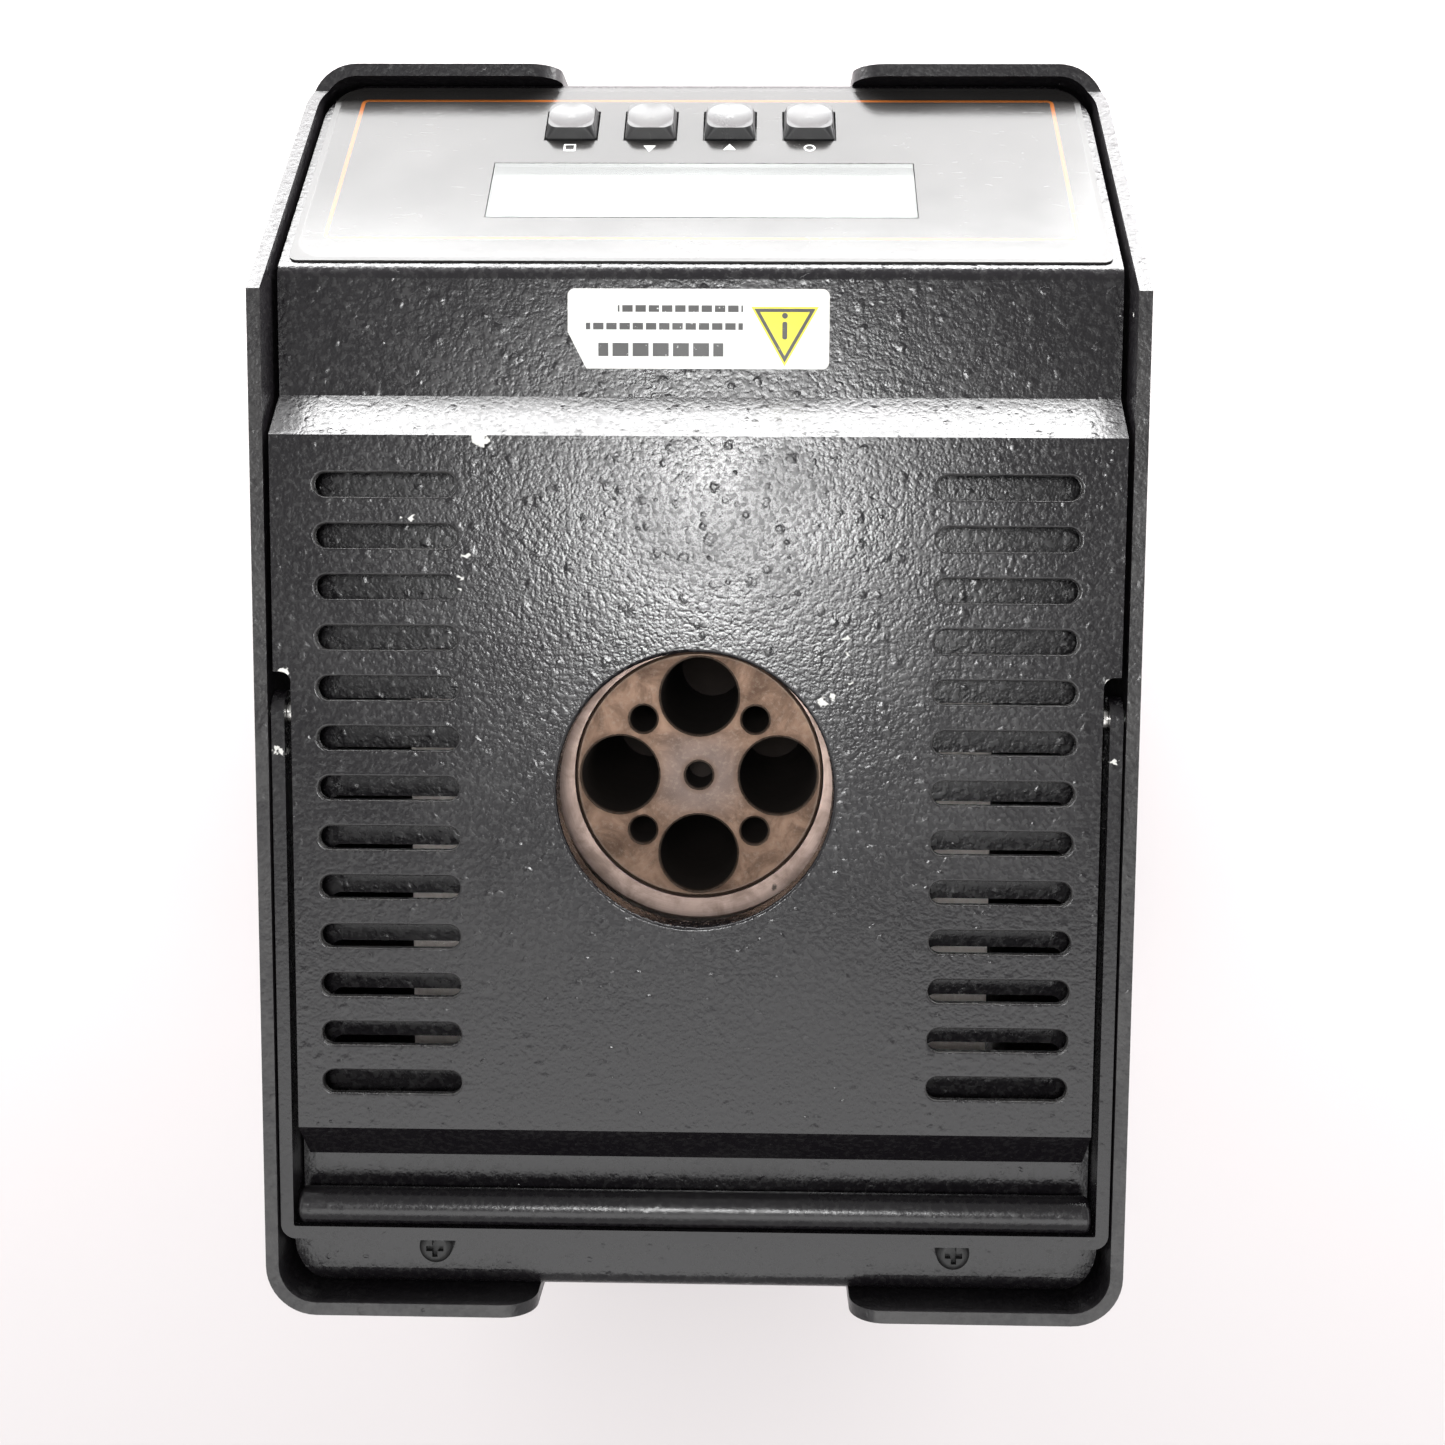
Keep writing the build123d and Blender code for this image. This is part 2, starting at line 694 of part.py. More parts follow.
def fan_guard():
    z1 = foot_height
    z0 = z1 - guard_thickness
    guard = rod(0, well_y, z0, z1, hub_radius)
    radius = hub_radius + guard_ring_step
    outermost = radius
    while radius < fan_duct_radius + guard_wire:
        guard += rod(0, well_y, z0, z1, radius) - rod(0, well_y, z0, z1, radius - guard_wire)
        outermost = radius
        radius += guard_ring_step
    diagonal = fan_hole_pitch * math.sqrt(2)
    spoke = Box(diagonal, guard_wire * 1.5, guard_thickness)
    for turn in (45, 135):
        guard += Pos(0, well_y, (z0 + z1) / 2) * Rot(0, 0, turn) * spoke
    for x, y in fan_screw_places():
        guard += rod(x, y, z0, z1, 3.6)
    for x, y in fan_screw_places():
        guard -= rod(x, y, 0, z1 + 1, screw_radius + screw_gap)
    return guard


def fan_screws():
    seat = foot_height - guard_thickness
    return group([Pos(x, y, seat) * Rot(180, 0, 0) * pan_screw(12.0) for x, y in fan_screw_places()])


# ---- control panel ----
def key_places():
    return [key_group_shift + (count - 1.5) * key_pitch for count in range(4)]


def front_overlay():
    half = shell_half - overlay_inset + 0.8
    height = slope_length - overlay_top - overlay_bottom_margin
    middle = overlay_top + height / 2
    outline = Rectangle(2 * half, height)
    outline = fillet(outline.vertices().sort_by(Axis.Y)[:2], overlay_front_corner)
    outline = fillet(outline.vertices().sort_by(Axis.Y)[-2:], overlay_rear_corner)
    sheet = extrude(outline, overlay_thickness)
    sheet = on_panel(0, middle, 0, sheet)
    opening = Box(window_width + 2 * window_gap, window_height + 2 * window_gap, 4)
    sheet -= on_panel(0, window_middle, 0, opening)
    for x in key_places():
        sheet -= on_panel(x, key_middle, 0, Box(key_size + 2 * key_gap, key_size + 2 * key_gap, 4))
    return sheet


def display_window():
    pane = Pos(0, 0, (overlay_thickness - sheet_gauge) / 2)
    pane = pane * Box(window_width, window_height, sheet_gauge + overlay_thickness)
    lip_depth = 0.8
    lip = Pos(0, 0, -sheet_gauge - lip_depth / 2)
    lip = lip * Box(window_width + 2 * window_lip, window_height + 2 * window_lip, lip_depth)
    return on_panel(0, window_middle, 0, pane + lip)


def display_module():
    top = -sheet_gauge - 0.9
    body = Box(window_width + 2.0, window_height + 2.0, panel_board_depth + top)
    return on_panel(0, window_middle, (top - panel_board_depth) / 2, body)


def key_cap(x):
    size = key_size
    waist = overlay_thickness + 0.2
    bottom = -sheet_gauge - 0.2
    foot = RectangleRounded(size, size, key_foot_corner)
    top = RectangleRounded(key_top_size, key_top_size, key_top_corner)
    base = Pos(0, 0, bottom) * extrude(foot, waist - bottom)
    cap = base + loft([Pos(0, 0, waist) * foot, Pos(0, 0, key_stand) * top])
    dish_radius = (key_top_size ** 2 / 4 + key_dish ** 2) / (2 * key_dish)
    cap -= Pos(0, 0, key_stand + dish_radius - key_dish) * Sphere(dish_radius)
    flange_size = size + 2 * (key_gap + key_flange_lip)
    flange_top = bottom
    cap += Pos(0, 0, flange_top - key_flange / 2) * Box(flange_size, flange_size, key_flange)
    stem_bottom = -panel_board_depth + tact_height + plunger_height + key_travel + plunger_gap
    stem_long = flange_top - key_flange - stem_bottom
    cap += Pos(0, 0, stem_bottom + stem_long / 2) * Box(key_stem, key_stem, stem_long)
    return on_panel(x, key_middle, 0, cap)


def control_board():
    board = Box(2 * panel_board_half, panel_board_height, board_thickness)
    board = on_panel(0, panel_board_middle, -panel_board_depth - board_thickness / 2, board)
    for x, down in panel_standoff_places():
        board -= on_panel(x, down, -panel_board_depth, Cylinder(screw_radius + screw_gap, 4 * board_thickness))
    return board


def panel_standoff_places():
    reach = panel_board_height / 2 - 3.0
    return [(side * standoff_x, panel_board_middle + end * reach) for side in (-1, 1) for end in (-1, 1)]


def panel_standoffs():
    length = panel_board_depth - sheet_gauge
    middle = -(panel_board_depth + sheet_gauge) / 2
    tube = Cylinder(2.8, length) - Cylinder(screw_radius + screw_gap, length)
    return group([on_panel(x, down, middle, tube) for x, down in panel_standoff_places()])


def panel_screws():
    seat = -panel_board_depth - board_thickness
    screw = Rot(180, 0, 0) * pan_screw()
    return group([on_panel(x, down, seat, screw) for x, down in panel_standoff_places()])


def key_switches():
    body = Pos(0, 0, tact_height / 2) * Box(tact_size, tact_size, tact_height)
    plunger = Pos(0, 0, tact_height + plunger_height / 2) * Cylinder(plunger_radius, plunger_height)
    return group([on_panel(x, key_middle, -panel_board_depth, body + plunger) for x in key_places()])


def caution_label():
    y0 = bend_y + label_back
    plate = Pos(0, y0 + label_height / 2, deck_top) * Rectangle(label_width, label_height)
    plate = fillet(plate.vertices(), label_corner)
    sheet = extrude(plate, label_thickness, dir=(0, 0, 1))
    x1 = label_width / 2
    y1 = y0 + label_height
    corner = [(x1 - label_cut_across, y1 + 0.01), (x1 + 0.01, y1 - label_cut_along), (x1 + 1, y1 + 1)]
    return sheet - extrude(Pos(0, 0, deck_top - 1) * Polygon(*corner, align=None), 3)


# ---- rear power entry ----
def rear_plate(width, height, middle, depth_out, depth_in, lip):
    """A flange on the rear wall with a body behind it."""
    flange = block(-width / 2, width / 2, rear_inner, rear_inner + depth_out,
                   middle - height / 2, middle + height / 2)
    flange = fillet(flange.edges().filter_by(Axis.Y), 2.0)
    body = block(-width / 2 + lip, width / 2 - lip, rear_inner - depth_in, rear_inner,
                 middle - height / 2 + lip, middle + height / 2 - lip)
    return flange + body


def power_inlet():
    inlet = rear_plate(module_width, module_height, module_middle,
                       module_flange, module_depth, module_body_margin)
    mouth = rear_inner + module_flange
    socket_z = module_middle + socket_up
    socket = block(-socket_width / 2, socket_width / 2, mouth - socket_depth, mouth,
                   socket_z - socket_height / 2, socket_z + socket_height / 2)
    tops = socket.edges().filter_by(Axis.Y).sort_by(Axis.Z)[-2:]
    inlet -= chamfer(tops, 4.5)
    thin, tall = blade_pin
    for x, z in ((-blade_pin_spacing, -2.0), (0, 2.0), (blade_pin_spacing, -2.0)):
        inlet += block(x - thin / 2, x + thin / 2,
                       mouth - socket_depth - 1, mouth - socket_depth + blade_pin_length,
                       socket_z + z - tall / 2, socket_z + z + tall / 2)
    drawer_z = module_middle - drawer_down
    gap = drawer_gap
    inlet -= block(-drawer_width / 2 - gap, drawer_width / 2 + gap, mouth - drawer_depth - gap, mouth,
                   drawer_z - drawer_height / 2 - gap, drawer_z + drawer_height / 2 + gap)
    lip = 1.0 + gap
    inlet -= block(-drawer_width / 2 - lip, drawer_width / 2 + lip, mouth - drawer_face - gap, mouth,
                   drawer_z - drawer_height / 2 - lip, drawer_z + drawer_height / 2 + lip)
    return inlet


def fuse_drawer():
    mouth = rear_inner + module_flange
    drawer_z = module_middle - drawer_down
    tray = block(-drawer_width / 2, drawer_width / 2, mouth - drawer_depth, mouth - drawer_face,
                 drawer_z - drawer_height / 2, drawer_z + drawer_height / 2)
    tray -= block(-drawer_width / 2 + drawer_wall, drawer_width / 2 - drawer_wall,
                  mouth - drawer_depth + drawer_wall, mouth - 3.0,
                  drawer_z - drawer_height / 2 + drawer_wall, case_height)
    face = block(-drawer_width / 2 - 1, drawer_width / 2 + 1, mouth - drawer_face, mouth,
                 drawer_z - drawer_height / 2 - 1, drawer_z + drawer_height / 2 + 1)
    return tray + face


def fuse():
    fuse_y = rear_inner + module_flange - drawer_depth / 2 - 1
    fuse_z = module_middle - drawer_down - drawer_height / 2 + drawer_wall + fuse_radius + drawer_gap
    length = drawer_width - 2 * drawer_wall - 2 * drawer_gap
    return Pos(0, fuse_y, fuse_z) * Rot(0, 90, 0) * Cylinder(fuse_radius, length)


def rocker_pivot():
    return rear_inner - 1.7, switch_middle


def power_switch():
    switch = rear_plate(switch_width, switch_height, switch_middle, 1.2, switch_depth, switch_lip)
    pivot, middle = rocker_pivot()
    half_x = switch_width / 2 - switch_lip - switch_wall
    half_z = rocker_reach + 0.9
    switch -= block(-half_x, half_x, pivot - 6.0, case_depth, middle - half_z, middle + half_z)
    pins = Pos(0, pivot, middle) * Rot(0, 90, 0) * Cylinder(rocker_pin_radius + pin_clearance, 2 * half_x + 2.0)
    return switch - pins


def power_rocker():
    pivot, middle = rocker_pivot()
    half_x = switch_width / 2 - switch_lip - switch_wall - 0.2
    reach = rocker_reach
    outline = [(-4.0, -2.5), (-1.0, -reach), (2.3, -reach), (1.3, 0), (2.3, reach), (-1.0, reach), (-4.0, 2.5)]
    body = side_prism(outline, -half_x, half_x)
    body += Rot(0, 90, 0) * Cylinder(rocker_pin_radius, 2 * half_x + 2.0)
    return Pos(0, pivot, middle) * Rot(-rocker_throw, 0, 0) * body


# ---- inside the front ----
def shield_screw_places():
    return [(side * (inner_half - 24.0), shield_y - shield_foot / 2) for side in (-1, 1)]


def heat_shield():
    half = inner_half - 3.6
    wall = block(-half, half, shield_y, shield_y + shield_gauge, pan_floor, deck_top - sheet_gauge - 1.8)
    foot = block(-half, half, shield_y - shield_foot, shield_y, pan_floor, pan_floor + shield_gauge)
    shield = wall + foot
    for x, y in shield_screw_places():
        shield -= rod(x, y, 0, pan_floor + 2, screw_radius + screw_gap)
    return shield


def shield_screws():
    return group([Pos(x, y, pan_floor + shield_gauge) * pan_screw(4.0) for x, y in shield_screw_places()])


def main_standoff_places():
    y0 = main_board_front + 17.0
    y1 = shield_y - shield_foot - 4.0
    return [(side * (main_board_half - 4.0), y) for side in (-1, 1) for y in (y0, y1)]


def main_board():
    board = block(-main_board_half, main_board_half, main_board_front, main_board_rear,
                  board_top, board_top + board_thickness)
    for x, y in main_standoff_places():
        board -= rod(x, y, 0, case_height, screw_radius + screw_gap)
    return board


def main_standoffs():
    return group([rod(x, y, pan_floor, board_top, 2.8) - rod(x, y, 0, case_height, screw_radius + screw_gap)
                  for x, y in main_standoff_places()])


def main_board_screws():
    upper = [Pos(x, y, board_top + board_thickness) * pan_screw(5.5) for x, y in main_standoff_places()]
    lower = [Pos(x, y, foot_height) * Rot(180, 0, 0) * pan_screw(4.5) for x, y in main_standoff_places()]
    return group(upper + lower)


def board_layout():
    """The x of the transformer, heat sink and relay, spread evenly between the board's screws."""
    widths = [transformer_size[0], sink_size[0], relay_size[0]]
    room = 2 * (main_board_half - 8.0)
    gap = (room - sum(widths)) / (len(widths) - 1)
    places = []
    x = -room / 2
    for width in widths:
        places.append(x + width / 2)
        x += width + gap
    return places


def on_board(size, x, y):
    floor = board_top + board_thickness
    wide, deep, tall = size
    return block(x - wide / 2, x + wide / 2, y - deep / 2, y + deep / 2, floor, floor + tall)


def parts_row():
    return (main_board_front + main_board_rear) / 2 - 2.0


def transformer():
    x = board_layout()[0]
    wide, deep, tall = transformer_size
    core = on_board(transformer_size, x, parts_row())
    bobbin = on_board((wide - 12.0, deep + 8.0, tall - 8.0), x, parts_row())
    return core + Pos(0, 0, 4.0) * bobbin


def heat_sink():
    x = board_layout()[1]
    wide, deep, tall = sink_size
    sink = on_board(sink_size, x, parts_row())
    fins = 5
    pitch = wide / fins
    for count in range(fins):
        left = x - wide / 2 + pitch * (count + 0.5)
        sink -= block(left - pitch * 0.3, left + pitch * 0.3, parts_row() - deep, parts_row() + deep / 2 - 4.0,
                      0, case_height)
    return sink


def triac():
    x = board_layout()[1]
    wide, deep, tall = triac_size
    back = parts_row() + sink_size[1] / 2
    floor = board_top + board_thickness
    body = block(x - wide / 2, x + wide / 2, back, back + deep, floor + 10, floor + 10 + tall)
    for lead in (-2.54, 0, 2.54):
        body += block(x + lead - 0.4, x + lead + 0.4, back + 1.8, back + 2.3, floor, floor + 10.5)
    return body


def capacitors():
    x = (board_layout()[0] + transformer_size[0] / 2 + board_layout()[1] - sink_size[0] / 2) / 2
    floor = board_top + board_thickness
    return group([rod(x, parts_row() + step, floor, floor + capacitor_height, capacitor_radius)
                  for step in (-7.0, 7.0)])


def relay():
    return on_board(relay_size, board_layout()[2], parts_row())


def terminal_block():
    x = board_layout()[0]
    y = main_board_rear - terminal_size[1] / 2 - 0.5
    wide, deep, tall = terminal_size
    strip = on_board((wide, deep - 3.0, tall), x, y + 1.5)
    for count in range(5):
        way = x - wide / 2 + wide / 5 * (count + 0.5)
        strip -= rod(way, y + 1.5, board_top + board_thickness + tall - 4.0, case_height, 1.6)
    return strip


parts = {
    "side_panel_left": side_panel(-1),
    "side_panel_right": side_panel(1),
    "body_shell": body_shell(),
    "top_cover": top_cover(),
    "base_pan": base_pan(),
    "rubber_feet": rubber_feet(),
    "foot_screws": foot_screws(),
    "flange_screws": group([place * flat_screw() for place in flange_screw_places()]),
    "side_screws": group([place * flat_screw(5.0) for place in side_screw_places()]),
    "deck_screws": deck_screws(),
    "rear_bracket": rear_bracket(),
    "carry_handle": carry_handle(),
    "handle_screws": handle_screws(),
    "heater_block": heater_block(),
    "block_insert": block_insert(),
    "cartridge_heaters": cartridge_heaters(),
    "control_sensor": probe(0),
    "cutout_sensor": probe(1),
    "insulation_jacket": insulation_jacket(),
    "insulation_lid": insulation_lid(),
    "block_spacer": block_spacer(),
    "block_tray": block_tray(),
    "block_posts": block_posts(),
    "post_screws": post_screws(),
    "fan_frame": fan_frame(),
    "fan_rotor": fan_rotor(),
    "fan_guard": fan_guard(),
    "fan_screws": fan_screws(),
    "front_overlay": front_overlay(),
    "display_window": display_window(),
    "display_module": display_module(),
    "control_board": control_board(),
    "panel_standoffs": panel_standoffs(),
    "panel_screws": panel_screws(),
    "key_switches": key_switches(),
    "caution_label": caution_label(),
    "power_inlet": power_inlet(),
    "fuse_drawer": fuse_drawer(),
    "fuse": fuse(),
    "power_switch": power_switch(),
    "power_rocker": power_rocker(),
    "heat_shield": heat_shield(),
    "shield_screws": shield_screws(),
    "main_board": main_board(),
    "main_standoffs": main_standoffs(),
    "main_board_screws": main_board_screws(),
    "transformer": transformer(),
    "heat_sink": heat_sink(),
    "triac": triac(),
    "capacitors": capacitors(),
    "relay": relay(),
    "terminal_block": terminal_block(),
}
for key_name, key_x in zip(key_names, key_places()):
    parts[key_name] = key_cap(key_x)

os.makedirs("parts", exist_ok=True)
for node, shape in parts.items():
    export_step(shape, f"parts/{node}.step")
print(len(parts), "nodes")
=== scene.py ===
import math
import bmesh
import bpy
from mathutils import Matrix, Vector


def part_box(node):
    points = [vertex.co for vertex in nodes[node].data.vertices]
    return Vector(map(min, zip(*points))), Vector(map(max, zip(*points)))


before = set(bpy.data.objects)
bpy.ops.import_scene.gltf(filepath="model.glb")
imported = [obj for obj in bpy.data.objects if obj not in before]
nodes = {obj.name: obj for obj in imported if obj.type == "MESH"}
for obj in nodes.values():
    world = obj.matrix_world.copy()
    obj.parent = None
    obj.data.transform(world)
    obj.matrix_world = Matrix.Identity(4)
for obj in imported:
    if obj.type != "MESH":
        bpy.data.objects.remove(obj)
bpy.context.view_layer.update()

# Finishes for the bench block heater, then a floor, soft lights and a camera over its lid.
# Metres, +Z up, -Y is the front with the sloped panel.
mm = 0.001
print("frame loaded,", len(nodes), "CAD pieces")


class Value:
    # one socket of a finish; sums and products on it add their Math nodes
    def __init__(self, finish, socket):
        self.finish = finish
        self.socket = socket

    def math(self, operation, *others):
        return self.finish.add("Math", {"operation": operation}, dict(enumerate((self,) + others)))

    def __add__(self, other):
        return self.math("ADD", other)

    def __sub__(self, other):
        return self.math("SUBTRACT", other)

    def __rsub__(self, other):
        return self.finish.add("Math", {"operation": "SUBTRACT"}, {0: other, 1: self})

    def __mul__(self, other):
        return self.math("MULTIPLY", other)

    def __truediv__(self, other):
        return self.math("DIVIDE", other)

    def __mod__(self, other):
        return self.math("FLOORED_MODULO", other)

    def __abs__(self):
        return self.math("ABSOLUTE")

    def __neg__(self):
        return self * -1

    __radd__ = __add__
    __rmul__ = __mul__

    def above(self, limit, soft):
        # 0 below the limit, 1 above it, smooth across it
        return self.finish.add("MapRange", {"interpolation_type": "SMOOTHSTEP"},
                               {0: self, 1: limit - soft, 2: limit + soft})

    def below(self, limit, soft):
        return 1 - self.above(limit, soft)


def larger(a, b):
    return a.math("MAXIMUM", b)


def smaller(a, b):
    return a.math("MINIMUM", b)


def reach(a, b):
    # length of the vector (a, b)
    return (a * a + b * b).math("SQRT")


def roundedBox(u, v, halfU, halfV, corner):
    # signed distance to a rounded rectangle, negative inside
    overU = abs(u) - (halfU - corner)
    overV = abs(v) - (halfV - corner)
    outside = reach(larger(overU, 0), larger(overV, 0))
    return outside + smaller(larger(overU, overV), 0) - corner


class Finish:
    # one material, built up to a Principled shader
    def __init__(self, name):
        self.material = bpy.data.materials.new(name)
        self.material.use_nodes = True
        self.tree = self.material.node_tree
        self.tree.nodes.clear()
        self.place = self.add("TexCoord", out="Object")
        self.x, self.y, self.z = self.split(self.place)

    def add(self, kind, settings=None, sockets=None, out=0):
        made = self.tree.nodes.new("ShaderNode" + kind)
        for name, value in (settings or {}).items():
            setattr(made, name, value)
        for name, value in (sockets or {}).items():
            socket = made.inputs[name]
            if isinstance(value, Value):
                self.tree.links.new(value.socket, socket)
            elif socket.type == "RGBA":
                socket.default_value = (*value, 1)
            else:
                socket.default_value = value
        return Value(self, made.outputs[out])

    def split(self, vector):
        return [self.add("SeparateXYZ", None, {0: vector}, out=axis) for axis in "XYZ"]

    def mix(self, amount, first, second):
        # a colour between two
        return self.add("Mix", {"data_type": "RGBA"}, {0: amount, 6: first, 7: second}, out=2)

    def stretch(self, factors, place=None):
        return self.add("VectorMath", {"operation": "MULTIPLY"}, {0: place or self.place, 1: factors})

    def noise(self, size, detail=2.0, rough=0.5, place=None, warp=0.0):
        # size is the width of one lump in metres
        return self.add("TexNoise", None, {"Vector": place or self.place, "Scale": 1 / size, "Detail": detail,
                                           "Roughness": rough, "Distortion": warp})

    def warped(self, size, amount, place=None):
        # places pushed about by noise, for ragged outlines
        sockets = {"Vector": place or self.place, "Scale": 1 / size, "Detail": 2.0}
        colour = self.add("TexNoise", None, sockets, out=1)
        centred = self.add("VectorMath", {"operation": "SUBTRACT"}, {0: colour, 1: (0.5, 0.5, 0.5)})
        moved = self.add("VectorMath", {"operation": "SCALE"}, {0: centred, "Scale": amount})
        return self.add("VectorMath", {"operation": "ADD"}, {0: place or self.place, 1: moved})

    def drops(self, size, widest, keep, place):
        # round lumps of uneven width at random places, 1 in their middles; keep is the share that stays
        cell = {"Vector": place, "Scale": 1 / size}
        away = self.add("TexVoronoi", None, cell, out="Distance")
        tint = self.add("TexVoronoi", None, cell, out="Color")
        red = self.add("SeparateColor", None, {0: tint}, out=0)
        green = self.add("SeparateColor", None, {0: tint}, out=1)
        lump = 1 - smaller(away / ((red * 0.7 + 0.3) * widest), 1)
        return lump * green.above(1 - keep, 0.01)

    def bump(self, height, depth):
        return self.add("Bump", None, {"Height": height, "Distance": depth})

    def shade(self, sockets):
        shader = self.add("BsdfPrincipled", None, sockets)
        end = self.tree.nodes.new("ShaderNodeOutputMaterial")
        self.tree.links.new(shader.socket, end.inputs["Surface"])
        return self.material


# the black hammered coat on all the folded sheet
coatLook = {
    "colour": (0.0062, 0.0052, 0.0066),
    # the dust colour also paints a lighter sheen on the hammered pebbles
    "dust": (0.022, 0.021, 0.021),
    "chip": (0.70, 0.69, 0.66),
    "rim": (0.05, 0.048, 0.047),      # coat worn thin on an edge; on the plates' top edges also a painted highlight
    "roughness": 0.22,
    "ior": 1.52,
    "wave": 0.80 * mm,                # pebbles of the hammered skin
    "blob": 1.9 * mm,                 # room for one of its larger lumps
    "crater": 4.1 * mm,               # room for one small pit
    "swell": 3.2 * mm,                # slow unevenness
    "grit": 0.36 * mm,
    "cloud": 23 * mm,                 # patches of dust
    "speck": 1.7 * mm,                # room for one speck of dust
    "flake": 17 * mm,                 # room for one tiny flake off the coat
    "patch": 1.3 * mm,                # breaks in a worn edge
    "depth": 0.05 * mm,
}


def coat(name, look, rimMask=None, chips=()):
    # rimMask: function of the finish giving worn edges, on the plates also a painted highlight; chips: (x, y,
    # width) in mm of flakes knocked off
    finish = Finish(name)
    ragged = finish.warped(0.9 * mm, 0.75 * mm)
    waves = finish.noise(look["wave"], detail=1.0)
    blobs = finish.drops(look["blob"], widest=0.6, keep=0.4, place=ragged).above(0.42, 0.42)
    craters = finish.drops(look["crater"], widest=0.15, keep=0.5, place=ragged).above(0.4, 0.4)
    swell = finish.noise(look["swell"], detail=1.0)
    grit = finish.noise(look["grit"], detail=1.0)
    cloud = finish.noise(look["cloud"], detail=3.0, rough=0.6)
    speck = finish.drops(look["speck"], widest=0.13, keep=0.16, place=finish.warped(0.6 * mm, 0.5 * mm))
    # real dust in patches and specks, plus a painted sheen: the higher pebbles (waves) are painted lighter
    dust = cloud.above(0.58, 0.18) * 0.15 + speck * 0.5 + waves.above(0.57, 0.09) * 0.28
    colour = finish.mix(dust, look["colour"], look["dust"])
    worn = finish.drops(look["flake"], widest=0.05, keep=0.3, place=finish.warped(0.8 * mm, 1.6 * mm))
    worn = worn.above(0.25, 0.2)
    # edges painted pale: wear, and on the plates' top edges a painted highlight as well
    if rimMask:
        patchy = finish.noise(look["patch"], detail=3.0, rough=0.7) * 0.9 + finish.noise(9 * mm) * 0.9
        colour = finish.mix(rimMask(finish) * patchy.above(0.86, 0.3), colour, look["rim"])
    if chips:
        chipX, chipY, chipZ = finish.split(finish.warped(1.2 * mm, 2.6 * mm))
        for x, y, width in chips:
            away = reach(chipX - x * mm, (chipY - y * mm) * 1.3)
            worn = larger(worn, away.below(width * mm / 2, 0.12 * mm))
    colour = finish.mix(worn, colour, look["chip"])
    height = waves * 1.1 + blobs * 1.0 + grit * 0.42 + swell * 0.5 - craters * 0.4 - worn * 0.8
    rough = cloud * 0.1 + worn * 0.25 + dust * 0.25 + (look["roughness"] - 0.05)
    return finish.shade({"Base Color": colour, "Roughness": rough, "IOR": look["ior"],
                         "Normal": finish.bump(height, look["depth"])})


# worn rims of the lid's slots, and the flakes knocked off it
insertLow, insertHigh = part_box("block_insert")
wellY = (insertLow.y + insertHigh.y) / 2
lidLook = {
    "slotCentre": 44.25 * mm,
    "slotPitch": 7.25 * mm,
    "slotRows": 13,
    "slotHalfLength": 10.2 * mm,
    "slotHalfWidth": 1.7 * mm,
    "rimWidth": 0.18 * mm,
    "rimSoft": 0.14 * mm,
    # x, y and width in mm
    "chips": (
        (30.9, -33.9, 2.0), (29.9, -33.3, 1.3), (32.0, -34.8, 0.9),       # front edge
        (40.4, -22.6, 0.9), (42.1, -22.5, 0.6),                           # beside the second slot
        (32.8, -17.0, 0.8), (33.5, -14.1, 1.0), (33.8, -12.2, 0.6),
        (-21.4, -5.8, 1.0), (-21.8, -3.5, 0.6), (-22.2, 0.4, 0.6),        # round the hole
        (-18.2, 3.1, 1.3), (-19.6, 2.5, 0.8),
        (59.2, -0.5, 1.2), (-58.9, 0.2, 1.1),                             # front of each notch
    ),
}


def lidRims(finish):
    look = lidLook
    pitch = look["slotPitch"]
    straight = look["slotHalfLength"] - look["slotHalfWidth"]
    along = larger(abs(abs(finish.x) - look["slotCentre"]) - straight, 0)
    across = (finish.y - (wellY - pitch * 50.5)) % pitch - pitch / 2
    toSlot = abs(reach(along, across) - look["slotHalfWidth"]).below(look["rimWidth"], look["rimSoft"])
    return toSlot * abs(finish.y - wellY).below(pitch * look["slotRows"] / 2, 0.1 * mm)


def topEdges(node, depth):
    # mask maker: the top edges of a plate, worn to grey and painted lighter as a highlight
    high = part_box(node)[1].z

    def mask(finish):
        return finish.z.above(high - depth, 0.1 * mm) * 0.7
    return mask


plateLook = {"roughness": 0.32, "depth": 0.07 * mm, "wornHighlightEdge": 0.25 * mm}
handleLook = {"roughness": 0.25, "depth": 0.03 * mm,
              "chips": ((60.8, 11.2, 0.8), (60.0, 11.3, 0.9), (-60.2, 11.6, 0.9))}
lidCoat = coat("lidCoat", coatLook, lidRims, lidLook["chips"])
shellCoat = coat("shellCoat", {**coatLook, "roughness": 0.22, "depth": 0.045 * mm})
plateCoat = coat("plateCoat", {**coatLook, **plateLook}, topEdges("side_panel_left", plateLook["wornHighlightEdge"]))
handleCoat = coat("handleCoat", {**coatLook, **handleLook}, None, handleLook["chips"])
panCoat = coat("panCoat", {**coatLook, "roughness": 0.38})
print("black coats done")


# the lift-out insert: heat-stained, with sooty wells
insertLook = {
    "metal": (0.235, 0.150, 0.105),
    "stain": (0.090, 0.053, 0.035),
    "middle": (0.150, 0.115, 0.102),
    "pale": (0.26, 0.205, 0.165),
    "soot": (0.018, 0.013, 0.011),
    "wellCircle": 12.25 * mm,
    "wideWell": 6.0 * mm,
    "narrowWell": 2.1 * mm,
    "pullerHole": 2.1 * mm,
    "blotch": 6 * mm,
    "fleck": 0.7 * mm,
    "turning": 0.28 * mm,             # from one lathe mark to the next
    "roughness": 0.48,
    "metallic": 0.75,
    "depth": 0.012 * mm,
}


